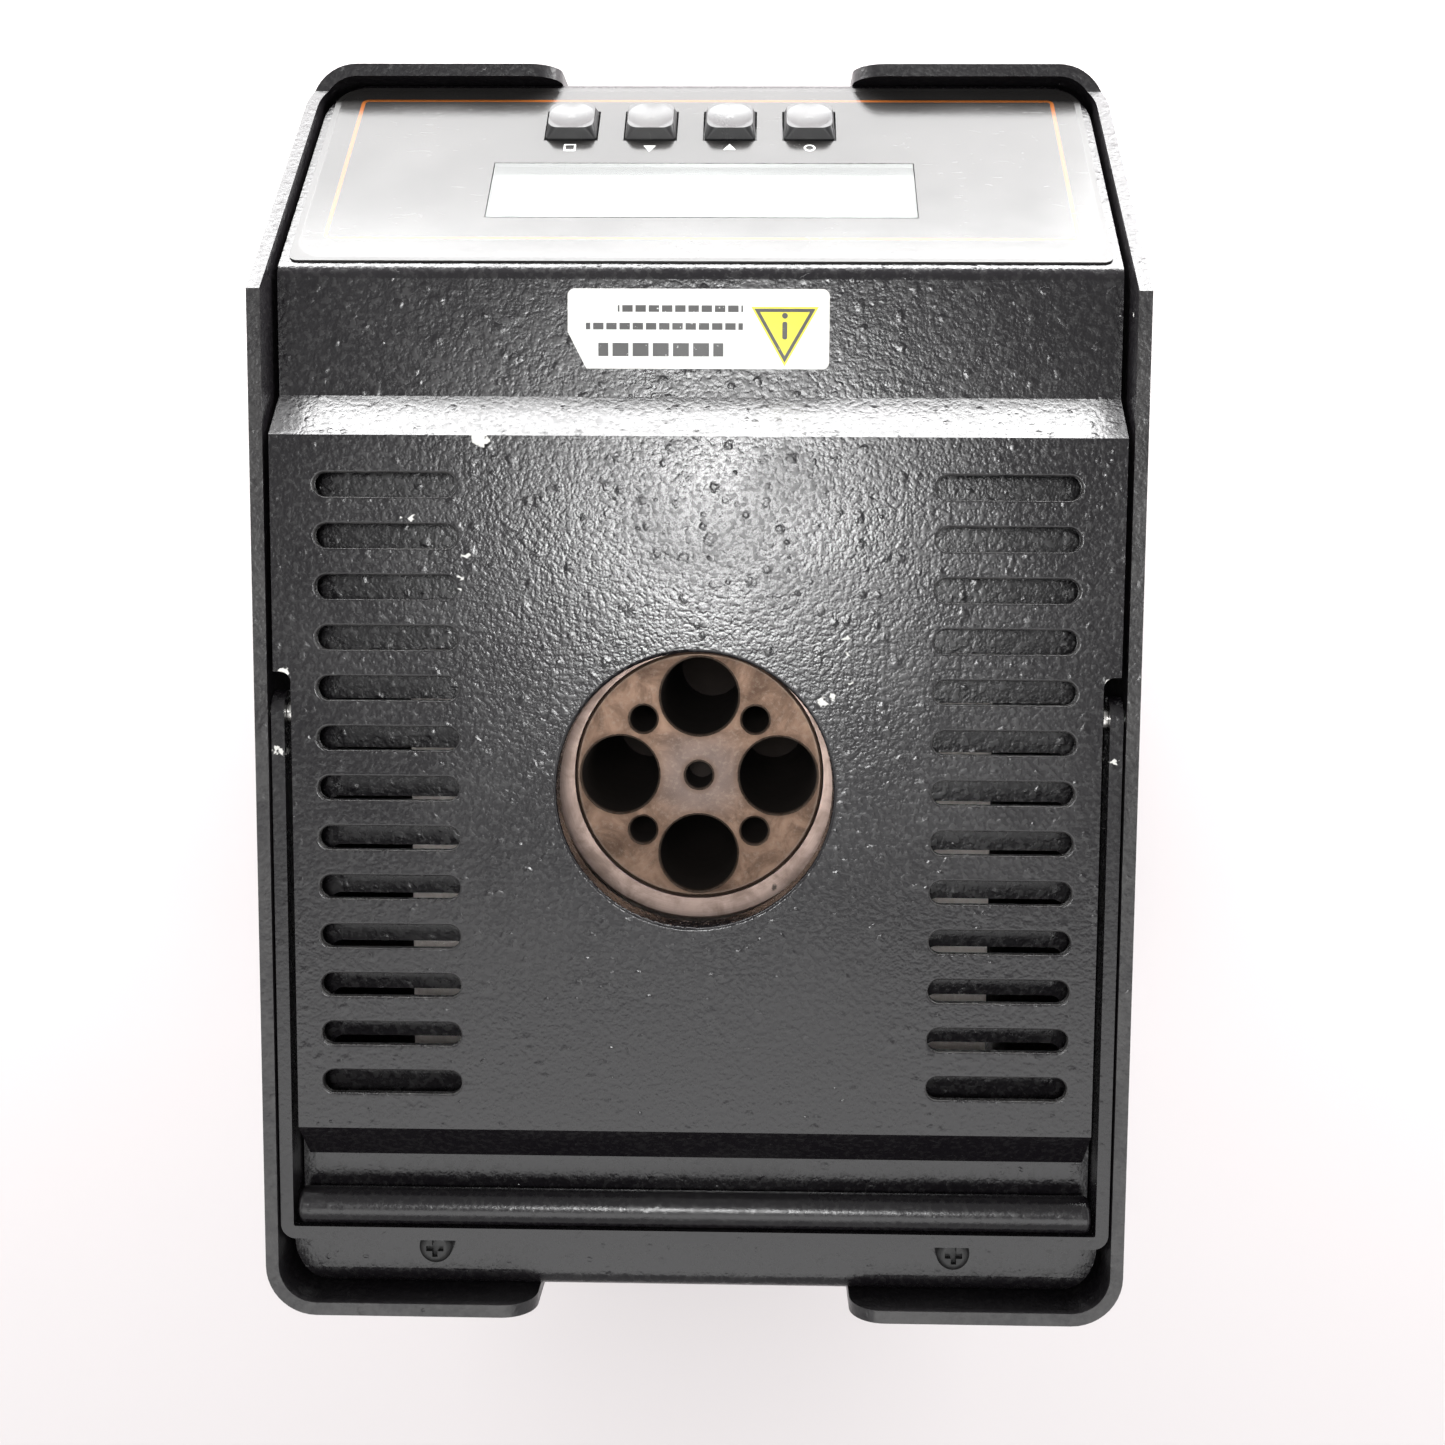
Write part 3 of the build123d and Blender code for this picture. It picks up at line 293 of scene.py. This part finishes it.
def insertMetal():
    look = insertLook
    finish = Finish("insertMetal")
    x, y = abs(finish.x), abs(finish.y - wellY)
    out = reach(x, y)
    wide = reach(larger(x, y) - look["wellCircle"], smaller(x, y)) - look["wideWell"]
    diagonal = look["wellCircle"] * math.sqrt(0.5)
    narrow = reach(x - diagonal, y - diagonal) - look["narrowWell"]
    puller = out - look["pullerHole"]
    nearest = smaller(smaller(wide, narrow), puller)
    blotch = finish.noise(look["blotch"], detail=5.0, rough=0.65, warp=0.8)
    fleck = finish.noise(look["fleck"], detail=3.0, rough=0.7)
    colour = finish.mix(blotch.above(0.5, 0.2), look["metal"], look["stain"])
    colour = finish.mix(out.below(6.5 * mm, 3.5 * mm) * 0.8, colour, look["middle"])
    colour = finish.mix(fleck.above(0.6, 0.12) * 0.35, colour, look["pale"])
    colour = finish.mix(nearest.below(0.75 * mm, 0.5 * mm) * 0.55, colour, look["stain"])
    bright = abs(nearest - 0.12 * mm).below(0.14 * mm, 0.1 * mm) * fleck.above(0.42, 0.15)
    rim = out.above(insertHigh.x - 0.5 * mm, 0.2 * mm)
    colour = finish.mix(larger(bright, rim * 0.6) * 0.7, colour, look["pale"])
    inside = finish.z.below(insertHigh.z - 1.2 * mm, 1.0 * mm) * out.below(insertHigh.x - 0.4 * mm, 0.1 * mm)
    colour = finish.mix(inside * 0.9, colour, look["soot"])
    turned = (out * (2 * math.pi / look["turning"])).math("SINE")
    height = turned * 0.12 + fleck * 0.5 + blotch * 0.3
    rough = blotch * 0.2 + inside * 0.3 + (look["roughness"] - 0.08)
    return finish.shade({"Base Color": colour, "Roughness": rough,
                         "Metallic": look["metallic"] - inside * 0.5,
                         "Normal": finish.bump(height, look["depth"])})


# the heated block, whose neck is the pale ring round the insert
blockLook = {
    "metal": (0.50, 0.375, 0.325),
    "stain": (0.22, 0.155, 0.125),
    "smudge": (0.10, 0.078, 0.066),
    "line": 1.4 * mm,
    "lineAcross": 9.0,                # packs the lathe lines closer outwards
    "lineAlong": 0.004,               # metres of noise for each radian round
    "blotch": 4.5 * mm,
    "spot": 5 * mm,                   # room for one smudge
    "roughness": 0.42,
    "metallic": 0.65,
    "depth": 0.005 * mm,
}


def blockMetal():
    look = blockLook
    finish = Finish("blockMetal")
    out = reach(finish.x, finish.y - wellY)
    turn = finish.add("Math", {"operation": "ARCTAN2"}, {0: finish.y - wellY, 1: finish.x})
    across, along = out * look["lineAcross"], turn * look["lineAlong"]
    streaks = finish.add("CombineXYZ", None, {0: across, 1: along, 2: finish.z})
    lines = finish.noise(look["line"], detail=4.0, rough=0.7, place=streaks)
    blotch = finish.noise(look["blotch"], detail=4.0, rough=0.65, warp=0.5)
    colour = finish.mix(blotch.above(0.54, 0.16) * 0.8, look["metal"], look["stain"])
    colour = finish.mix(lines.above(0.55, 0.2) * 0.3, colour, look["stain"])
    smudges = finish.drops(look["spot"], widest=0.2, keep=0.4, place=finish.warped(1 * mm, 1 * mm))
    smudges = smudges.above(0.3, 0.2)
    colour = finish.mix(smudges, colour, look["smudge"])
    height = lines * 0.6 + blotch * 0.2
    rough = blotch * 0.25 + (look["roughness"] - 0.12)
    return finish.shade({"Base Color": colour, "Roughness": rough, "Metallic": look["metallic"],
                         "Normal": finish.bump(height, look["depth"])})


# plated, turned and laminated metals; grain stretches the lines along an axis
metalLooks = {
    "zincPlate": {
        "colour": (0.52, 0.51, 0.48), "stain": (0.3, 0.29, 0.27), "grain": (1, 1, 1),
        "size": 5 * mm, "roughness": 0.36, "metallic": 1.0, "bump": 0.02 * mm,
    },
    "screwSteel": {
        "colour": (0.66, 0.65, 0.63), "stain": (0.3, 0.28, 0.26), "grain": (1, 1, 1),
        "size": 1.2 * mm, "roughness": 0.26, "metallic": 1.0, "bump": 0.015 * mm,
    },
    "blackScrews": {
        "colour": (0.005, 0.005, 0.0055), "stain": (0.016, 0.0155, 0.015), "grain": (1, 1, 1),
        "size": 0.9 * mm, "roughness": 0.5, "metallic": 0.0, "bump": 0.02 * mm,
    },
    "sinkAluminium": {
        "colour": (0.58, 0.59, 0.61), "stain": (0.4, 0.41, 0.43), "grain": (1, 1, 0.08),
        "size": 0.8 * mm, "roughness": 0.38, "metallic": 1.0, "bump": 0.02 * mm,
    },
    "coreSteel": {
        "colour": (0.1, 0.1, 0.105), "stain": (0.19, 0.13, 0.09), "grain": (0.03, 0.03, 1),
        "size": 0.5 * mm, "roughness": 0.5, "metallic": 0.7, "bump": 0.05 * mm,
    },
    "sheathSteel": {
        "colour": (0.45, 0.42, 0.39), "stain": (0.2, 0.15, 0.12), "grain": (1, 1, 0.2),
        "size": 2 * mm, "roughness": 0.4, "metallic": 1.0, "bump": 0.02 * mm,
    },
}


def plainMetal(name, look):
    finish = Finish(name)
    grained = finish.stretch(look["grain"])
    lines = finish.noise(look["size"], detail=4.0, rough=0.65, place=grained)
    blotch = finish.noise(7 * mm, detail=4.0, rough=0.6)
    stained = lines.above(0.52, 0.2) * 0.6 + blotch.above(0.6, 0.15) * 0.35
    colour = finish.mix(stained, look["colour"], look["stain"])
    rough = lines * 0.2 + (look["roughness"] - 0.1)
    return finish.shade({"Base Color": colour, "Roughness": rough, "Metallic": look["metallic"],
                         "Normal": finish.bump(lines, look["bump"])})


# moulded plastics and rubber
plasticLooks = {
    "keyPlastic": {"colour": (0.011, 0.011, 0.012), "scuff": (0.06, 0.058, 0.056), "grain": 0.16 * mm,
                   "roughness": 0.30, "bump": 0.008 * mm},
    "mouldedBlack": {"colour": (0.016, 0.016, 0.017), "scuff": (0.055, 0.054, 0.052), "grain": 0.28 * mm,
                     "roughness": 0.46, "bump": 0.03 * mm},
    "footRubber": {"colour": (0.014, 0.0135, 0.013), "scuff": (0.085, 0.08, 0.075), "grain": 0.35 * mm,
                   "roughness": 0.78, "bump": 0.05 * mm},
    "relayBlue": {"colour": (0.03, 0.10, 0.30), "scuff": (0.09, 0.19, 0.42), "grain": 0.3 * mm,
                  "roughness": 0.36, "bump": 0.015 * mm},
    "capSleeve": {"colour": (0.015, 0.016, 0.035), "scuff": (0.05, 0.055, 0.09), "grain": 0.5 * mm,
                  "roughness": 0.32, "bump": 0.02 * mm},
    "terminalGreen": {"colour": (0.02, 0.22, 0.08), "scuff": (0.08, 0.32, 0.15), "grain": 0.25 * mm,
                      "roughness": 0.42, "bump": 0.02 * mm},
}


def plastic(name, look):
    finish = Finish(name)
    fine = finish.noise(look["grain"], detail=2.0)
    cloud = finish.noise(11 * mm, detail=4.0, rough=0.6)
    drawn = finish.stretch((1, 0.05, 0.3), finish.warped(6 * mm, 3 * mm))
    scratch = finish.noise(0.35 * mm, detail=3.0, place=drawn)
    scuff = cloud.above(0.62, 0.14) * 0.4 + scratch.above(0.68, 0.05) * 0.35
    colour = finish.mix(scuff, look["colour"], look["scuff"])
    rough = cloud * 0.16 + scuff * 0.2 + (look["roughness"] - 0.08)
    return finish.shade({"Base Color": colour, "Roughness": rough, "Normal": finish.bump(fine, look["bump"])})


boardLook = {"mask": (0.012, 0.075, 0.032), "track": (0.03, 0.13, 0.055), "pad": (0.62, 0.60, 0.55),
             "pitch": 2.54 * mm, "trackHalf": 0.35 * mm, "padRadius": 0.6 * mm}


def boardGreen():
    look = boardLook
    finish = Finish("boardGreen")
    pitch = look["pitch"]
    stepX = (finish.x + 1) % pitch - pitch / 2
    stepY = (finish.y - finish.z + 1) % pitch - pitch / 2
    blockNoise = finish.noise(9 * mm, detail=1.0)
    tracks = larger(abs(stepX).below(look["trackHalf"], 0.06 * mm) * blockNoise.above(0.5, 0.01),
                    abs(stepY).below(look["trackHalf"], 0.06 * mm) * blockNoise.below(0.5, 0.01))
    soldered = finish.noise(4 * mm, detail=1.0).above(0.5, 0.01)
    pads = reach(stepX, stepY).below(look["padRadius"], 0.08 * mm) * soldered
    colour = finish.mix(pads, finish.mix(tracks, look["mask"], look["track"]), look["pad"])
    return finish.shade({"Base Color": colour, "Roughness": 0.35 - pads * 0.1, "Metallic": pads * 0.9,
                         "Normal": finish.bump(tracks * 0.6 + pads, 0.05 * mm)})


insulationLook = {"colour": (0.78, 0.70, 0.66), "pale": (0.90, 0.84, 0.80), "scorch": (0.16, 0.12, 0.10),
                  "scorchRadius": 28 * mm, "fibre": 0.6 * mm}


def insulationBoard():
    look = insulationLook
    finish = Finish("insulationBoard")
    matted = finish.stretch((1, 0.25, 1), finish.warped(4 * mm, 5 * mm))
    fibres = finish.noise(look["fibre"], detail=5.0, rough=0.75, place=matted)
    cloud = finish.noise(12 * mm, detail=4.0, rough=0.6)
    out = reach(finish.x, finish.y - wellY)
    colour = finish.mix(fibres.above(0.5, 0.2), look["colour"], look["pale"])
    scorched = out.below(look["scorchRadius"], 8 * mm) * cloud.above(0.45, 0.2)
    colour = finish.mix(scorched, colour, look["scorch"])
    return finish.shade({"Base Color": colour, "Roughness": cloud * 0.1 + 0.84,
                         "Normal": finish.bump(fibres + cloud * 0.6, 0.25 * mm)})


print("metals and plastics ready")


# the film, pane and display on the slope
overlayLow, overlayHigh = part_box("front_overlay")
panelLook = {
    "film": (0.020, 0.019, 0.0185),
    "haze": (0.050, 0.047, 0.045),
    "border": (0.20, 0.060, 0.012),
    "print": (0.66, 0.66, 0.64),
    "borderTop": 7.35 * mm,           # down the slope from the bend
    "borderBottom": 44.8 * mm,
    "borderHalf": 55.0 * mm,
    "borderWidth": 0.6 * mm,
    "keysFrom": -16.3 * mm,
    "keyPitch": 12.4 * mm,
    "signAt": 31.3 * mm,
    "ringRadius": 0.75 * mm,
    "triangleHalf": 0.55 * mm,        # from its middle to a side
    "squareHalf": 0.8 * mm,
    "signLine": 0.14 * mm,            # half the width of a drawn line
    "filmMiddle": 25.2 * mm,
    "filmHalf": 23.4 * mm,
    "filmCorner": 5 * mm,
    "roughness": 0.16,
}
# where the deck bends down into the slope
bendY, bendZ = -58.1 * mm, 146.0 * mm


def panelFilm():
    look = panelLook
    finish = Finish("panelFilm")
    down = ((finish.y - bendY) + (finish.z - bendZ)) * -math.sqrt(0.5)
    middle = (look["borderTop"] + look["borderBottom"]) / 2
    half = (look["borderBottom"] - look["borderTop"]) / 2
    frameLine = abs(roundedBox(finish.x, down - middle, look["borderHalf"], half, 0.8 * mm))
    frameLine = frameLine.below(look["borderWidth"] / 2, 0.04 * mm)
    signY = down - look["signAt"]
    pitch = look["keyPitch"]
    signs = [finish.x - (look["keysFrom"] + pitch * count) for count in range(4)]
    # a ring, a triangle each way and a square stand for the four keys' uses
    line, flat, side = look["signLine"], look["triangleHalf"], look["squareHalf"]
    ring = abs(reach(signs[0], signY) - look["ringRadius"]).below(line, 0.04 * mm)
    lower = larger(abs(signs[1]) * 0.87 + signY * 0.5, -signY).below(flat, 0.05 * mm)
    upper = larger(abs(signs[2]) * 0.87 - signY * 0.5, signY).below(flat, 0.05 * mm)
    square = abs(roundedBox(signs[3], signY, side, side, 0.1 * mm)).below(line, 0.04 * mm)
    printed = larger(larger(ring, lower), larger(upper, square))
    cloud = finish.noise(17 * mm, detail=4.0, rough=0.6)
    drawn = finish.stretch((0.06, 1, 1), finish.warped(9 * mm, 6 * mm))
    scratch = finish.noise(0.4 * mm, detail=2.0, place=drawn)
    marks = scratch.above(0.70, 0.03) * cloud.above(0.5, 0.1)
    hazy = cloud.above(0.55, 0.25) * 0.25 + marks * 0.5
    colour = finish.mix(hazy, look["film"], look["haze"])
    colour = finish.mix(frameLine, colour, look["border"])
    colour = finish.mix(printed * finish.noise(0.5 * mm).above(0.34, 0.08), colour, look["print"])
    filmY = down - look["filmMiddle"]
    edge = roundedBox(finish.x, filmY, overlayHigh.x, look["filmHalf"], look["filmCorner"])
    edge = edge.above(-0.9 * mm, 0.3 * mm)
    rough = cloud * 0.14 + marks * 0.2 + edge * 0.2 + (look["roughness"] - 0.05)
    orange = finish.noise(1.1 * mm, detail=1.0)
    return finish.shade({"Base Color": colour, "Roughness": rough, "IOR": 1.5,
                         "Normal": finish.bump(orange * 0.5 + cloud * 2.0, 0.012 * mm)})


windowLook = {"tint": (0.55, 0.58, 0.57), "dust": (0.8, 0.8, 0.8), "speck": 0.8 * mm, "smear": 8 * mm,
              "roughness": 0.06}


def windowPane():
    look = windowLook
    finish = Finish("windowPane")
    smear = finish.noise(look["smear"], detail=4.0, rough=0.6, place=finish.stretch((0.4, 1, 1)))
    dust = finish.drops(look["speck"], widest=0.16, keep=0.2, place=finish.place)
    rough = smear.above(0.5, 0.2) * 0.08 + dust * 0.3 + look["roughness"]
    return finish.shade({"Base Color": finish.mix(dust, look["tint"], look["dust"]), "Roughness": rough,
                         "Transmission Weight": 0.9, "IOR": 1.49, "Normal": finish.bump(smear, 0.01 * mm)})


displayLook = {
    "frame": (0.012, 0.012, 0.013),
    "glass": (0.10, 0.14, 0.075),
    "cell": (0.065, 0.095, 0.05),
    "down": 19.8 * mm,                # its middle, down the slope from the bend
    "halfWidth": 27 * mm,
    "halfHeight": 5.6 * mm,
    "cellPitch": 3.4 * mm,
    "cellHalfWidth": 1.25 * mm,
    "cellHalfHeight": 2.1 * mm,
    "rowOffset": 2.6 * mm,            # of the two rows of cells
}


def displayGlass():
    look = displayLook
    finish = Finish("displayGlass")
    down = ((finish.y - bendY) + (finish.z - bendZ)) * -math.sqrt(0.5) - look["down"]
    pitch = look["cellPitch"]
    cellX = (finish.x + pitch * 100.5) % pitch - pitch / 2
    cellY = abs(down) - look["rowOffset"]
    halfX, halfY = look["cellHalfWidth"], look["cellHalfHeight"]
    cell = roundedBox(cellX, cellY, halfX, halfY, 0.15 * mm).below(0, 0.05 * mm)
    lit = roundedBox(finish.x, down, look["halfWidth"], look["halfHeight"], 0.5 * mm).below(0, 0.1 * mm)
    cloud = finish.noise(14 * mm)
    colour = finish.mix(cell * 0.8, look["glass"], look["cell"])
    colour = finish.mix(lit, look["frame"], finish.mix(cloud * 0.3, colour, look["cell"]))
    return finish.shade({"Base Color": colour, "Roughness": cloud * 0.1 + 0.12,
                         "Normal": finish.bump(cell, 0.02 * mm)})


# the heat label on the deck
labelLow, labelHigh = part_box("caution_label")
labelLook = {
    "paper": (0.84, 0.84, 0.82),
    "grime": (0.58, 0.55, 0.50),
    "ink": (0.035, 0.034, 0.033),
    "yellow": (0.80, 0.72, 0.02),
    "triangleAt": (-12.4 * mm, -50.2 * mm),
    "triangle": 2.55 * mm,            # from its middle to a side
    "outline": 0.25 * mm,             # yellow ends this far outside it, the black line runs inside it
    "barHalf": (0.36 * mm, 1.25 * mm),
    "barAt": 0.55 * mm,               # up from the triangle's middle
    "dotAt": 1.55 * mm,               # down from it
    "dotRadius": 0.42 * mm,
    # x, y, half length, half thickness and pitch of the dashes, in mm
    "bars": ((5.4, -46.9, 9.0, 0.95, 2.9), (4.9, -50.2, 11.3, 0.48, 1.9), (2.6, -52.7, 9.0, 0.48, 1.9)),
}


def labelPrint():
    look = labelLook
    finish = Finish("labelPrint")
    px, py = look["triangleAt"]
    u, v = abs(finish.x - px), finish.y - py
    side = larger(u * math.sqrt(0.75) + v * 0.5, -v)
    triangle = side.below(look["triangle"] + look["outline"], 0.06 * mm)
    black = abs(side - (look["triangle"] - look["outline"])).below(0.24 * mm, 0.05 * mm)
    # a plain bar and dot inside, and bars where words would be
    inner = roundedBox(finish.x - px, v - look["barAt"], *look["barHalf"], 0.3 * mm).below(0, 0.05 * mm)
    inner = larger(inner, reach(u, v + look["dotAt"]).below(look["dotRadius"], 0.05 * mm))
    ink = larger(black, inner)
    for bar in look["bars"]:
        x, y, half, thick, pitch = [size * mm for size in bar]
        gap = abs((finish.x - x + pitch * 50.5) % pitch - pitch / 2).below(pitch * 0.40, 0.05 * mm)
        dashes = roundedBox(finish.x - x, finish.y - y, half, thick, 0.1 * mm).below(0, 0.05 * mm) * gap
        ink = larger(ink, dashes)
    worn = finish.noise(0.7 * mm, detail=3.0, rough=0.7).above(0.30, 0.06)
    cloud = finish.noise(8 * mm, detail=4.0, rough=0.65)
    middleY, halfY = (labelLow.y + labelHigh.y) / 2, (labelHigh.y - labelLow.y) / 2
    rub = roundedBox(finish.x, finish.y - middleY, labelHigh.x, halfY, 1.5 * mm).above(-0.6 * mm, 0.5 * mm)
    colour = finish.mix(cloud.above(0.62, 0.12) * 0.25 + rub * 0.3, look["paper"], look["grime"])
    colour = finish.mix(triangle, colour, look["yellow"])
    colour = finish.mix(ink * worn, colour, look["ink"])
    return finish.shade({"Base Color": colour, "Roughness": cloud * 0.15 + 0.3,
                         "Normal": finish.bump(cloud * 0.4 - ink * 0.1, 0.05 * mm)})


# a finish for every CAD piece
plastics = {name: plastic(name, look) for name, look in plasticLooks.items()}
metals = {name: plainMetal(name, look) for name, look in metalLooks.items()}
finishes = {
    "top_cover": lidCoat,
    "body_shell": shellCoat,
    "side_panel_left": plateCoat,
    "side_panel_right": plateCoat,
    "carry_handle": handleCoat,
    "base_pan": panCoat,
    "block_insert": insertMetal(),
    "heater_block": blockMetal(),
    "front_overlay": panelFilm(),
    "display_window": windowPane(),
    "display_module": displayGlass(),
    "caution_label": labelPrint(),
}
insulation = insulationBoard()
board = boardGreen()
groups = {
    "insulation_jacket insulation_lid block_spacer": insulation,
    "control_board main_board": board,
    "rubber_feet": plastics["footRubber"],
    "foot_screws handle_screws post_screws": metals["screwSteel"],
    "shield_screws panel_screws main_board_screws": metals["screwSteel"],
    "flange_screws side_screws deck_screws fan_screws": metals["blackScrews"],
    "cartridge_heaters control_sensor cutout_sensor": metals["sheathSteel"],
    "rear_bracket block_tray block_posts heat_shield fan_guard fuse": metals["zincPlate"],
    "panel_standoffs main_standoffs": metals["zincPlate"],
    "heat_sink": metals["sinkAluminium"],
    "transformer": metals["coreSteel"],
    "fan_frame fan_rotor power_inlet fuse_drawer power_switch key_switches triac": plastics["mouldedBlack"],
    "key_set key_down key_up key_exit power_rocker": plastics["keyPlastic"],
    "relay": plastics["relayBlue"],
    "capacitors": plastics["capSleeve"],
    "terminal_block": plastics["terminalGreen"],
}
for names, material in groups.items():
    for name in names.split():
        finishes[name] = material
for name, node in nodes.items():
    node.data.materials.clear()
    node.data.materials.append(finishes[name])
print("finishes on", len(finishes), "pieces")


# the pale floor
floorLook = {"size": 3.0, "colour": (0.68, 0.645, 0.65), "shade": (0.65, 0.615, 0.62)}


def makeFloor():
    mesh = bpy.data.meshes.new("floor")
    work = bmesh.new()
    bmesh.ops.create_grid(work, x_segments=2, y_segments=2, size=floorLook["size"])
    work.to_mesh(mesh)
    work.free()
    floor = bpy.data.objects.new("floor", mesh)
    bpy.context.scene.collection.objects.link(floor)
    finish = Finish("floorPaper")
    cloud = finish.noise(0.2, detail=3.0)
    colour = finish.mix(cloud, floorLook["colour"], floorLook["shade"])
    mesh.materials.append(finish.shade({"Base Color": colour, "Roughness": cloud * 0.1 + 0.75}))


# soft cards: place, point looked at, width and height, radiance
lightLooks = {
    "frontLow": {
        # whitens the slope
        "place": (0.0, -0.43, 0.042), "towards": (0.0, 0.0, 0.042),
        "size": (1.5, 0.084), "radiance": 6.7,
    },
    "frontHigh": {
        # lights the lid's front bevel
        "place": (0.0, -0.43, 0.14), "towards": (0.0, 0.0, 0.14),
        "size": (1.5, 0.11), "radiance": 26.0,
    },
    "frontRight": {
        "place": (-0.42, -0.4, 0.042), "towards": (0.0, 0.0, 0.042),
        "size": (0.7, 0.084), "radiance": 11.0,
    },
    "rearTop": {
        "place": (0.0, 0.42, 0.85), "towards": (0.0, 0.05, 0.15),
        "size": (1.2, 0.45), "radiance": 2.1,
    },
    "leftCard": {
        "place": (0.9, -0.1, 0.4), "towards": (0.0, 0.0, 0.1),
        "size": (1.6, 0.8), "radiance": 0.8,
    },
    "rightCard": {
        "place": (-0.9, -0.1, 0.4), "towards": (0.0, 0.0, 0.1),
        "size": (1.6, 0.8), "radiance": 0.8,
    },
    "overhead": {
        # the glare ahead of the well
        "place": (0.006, -0.04, 0.62), "towards": (0.0, -0.03, 0.0),
        "size": (0.09, 0.09), "radiance": 43.0,
    },
}


def makeLight(name, look):
    light = bpy.data.lights.new(name, "AREA")
    light.shape = "RECTANGLE"
    light.size, light.size_y = look["size"]
    light.energy = look["radiance"] * math.pi * look["size"][0] * look["size"][1]
    lamp = bpy.data.objects.new(name, light)
    bpy.context.scene.collection.objects.link(lamp)
    lamp.location = look["place"]
    aim = Vector(look["towards"]) - Vector(look["place"])
    lamp.rotation_euler = aim.to_track_quat("-Z", "Y").to_euler()
    lamp.visible_camera = False


# the camera above the lid, with the slope at the top of the picture
cameraLook = {"place": (-8.62 * mm, -16.68 * mm, 389.8 * mm), "towards": (-3.94 * mm, 6.32 * mm, 152.0 * mm),
              "roll": 0.37, "lens": 41.55, "clipStart": 0.01}


def makeCamera():
    look = cameraLook
    forward = (Vector(look["towards"]) - Vector(look["place"])).normalized()
    right = forward.cross(Vector((0, -1, 0))).normalized()
    up = right.cross(forward)
    turn = Matrix((right, up, -forward)).transposed().to_4x4()
    data = bpy.data.cameras.new("camera")
    data.lens = look["lens"]
    data.clip_start = look["clipStart"]
    camera = bpy.data.objects.new("camera", data)
    bpy.context.scene.collection.objects.link(camera)
    rolled = Matrix.Rotation(math.radians(look["roll"]), 4, "Z")
    camera.matrix_world = Matrix.Translation(look["place"]) @ turn @ rolled
    bpy.context.scene.camera = camera


roomLook = {"colour": (1, 1, 1), "strength": 0.45}


def makeRoom():
    world = bpy.data.worlds.new("softRoom")
    world.use_nodes = True
    background = world.node_tree.nodes["Background"]
    background.inputs["Color"].default_value = (*roomLook["colour"], 1)
    background.inputs["Strength"].default_value = roomLook["strength"]
    bpy.context.scene.world = world


makeFloor()
for name, look in lightLooks.items():
    makeLight(name, look)
makeRoom()
makeCamera()
bpy.context.scene.view_settings.view_transform = "Standard"
print("floor, lights and camera set")
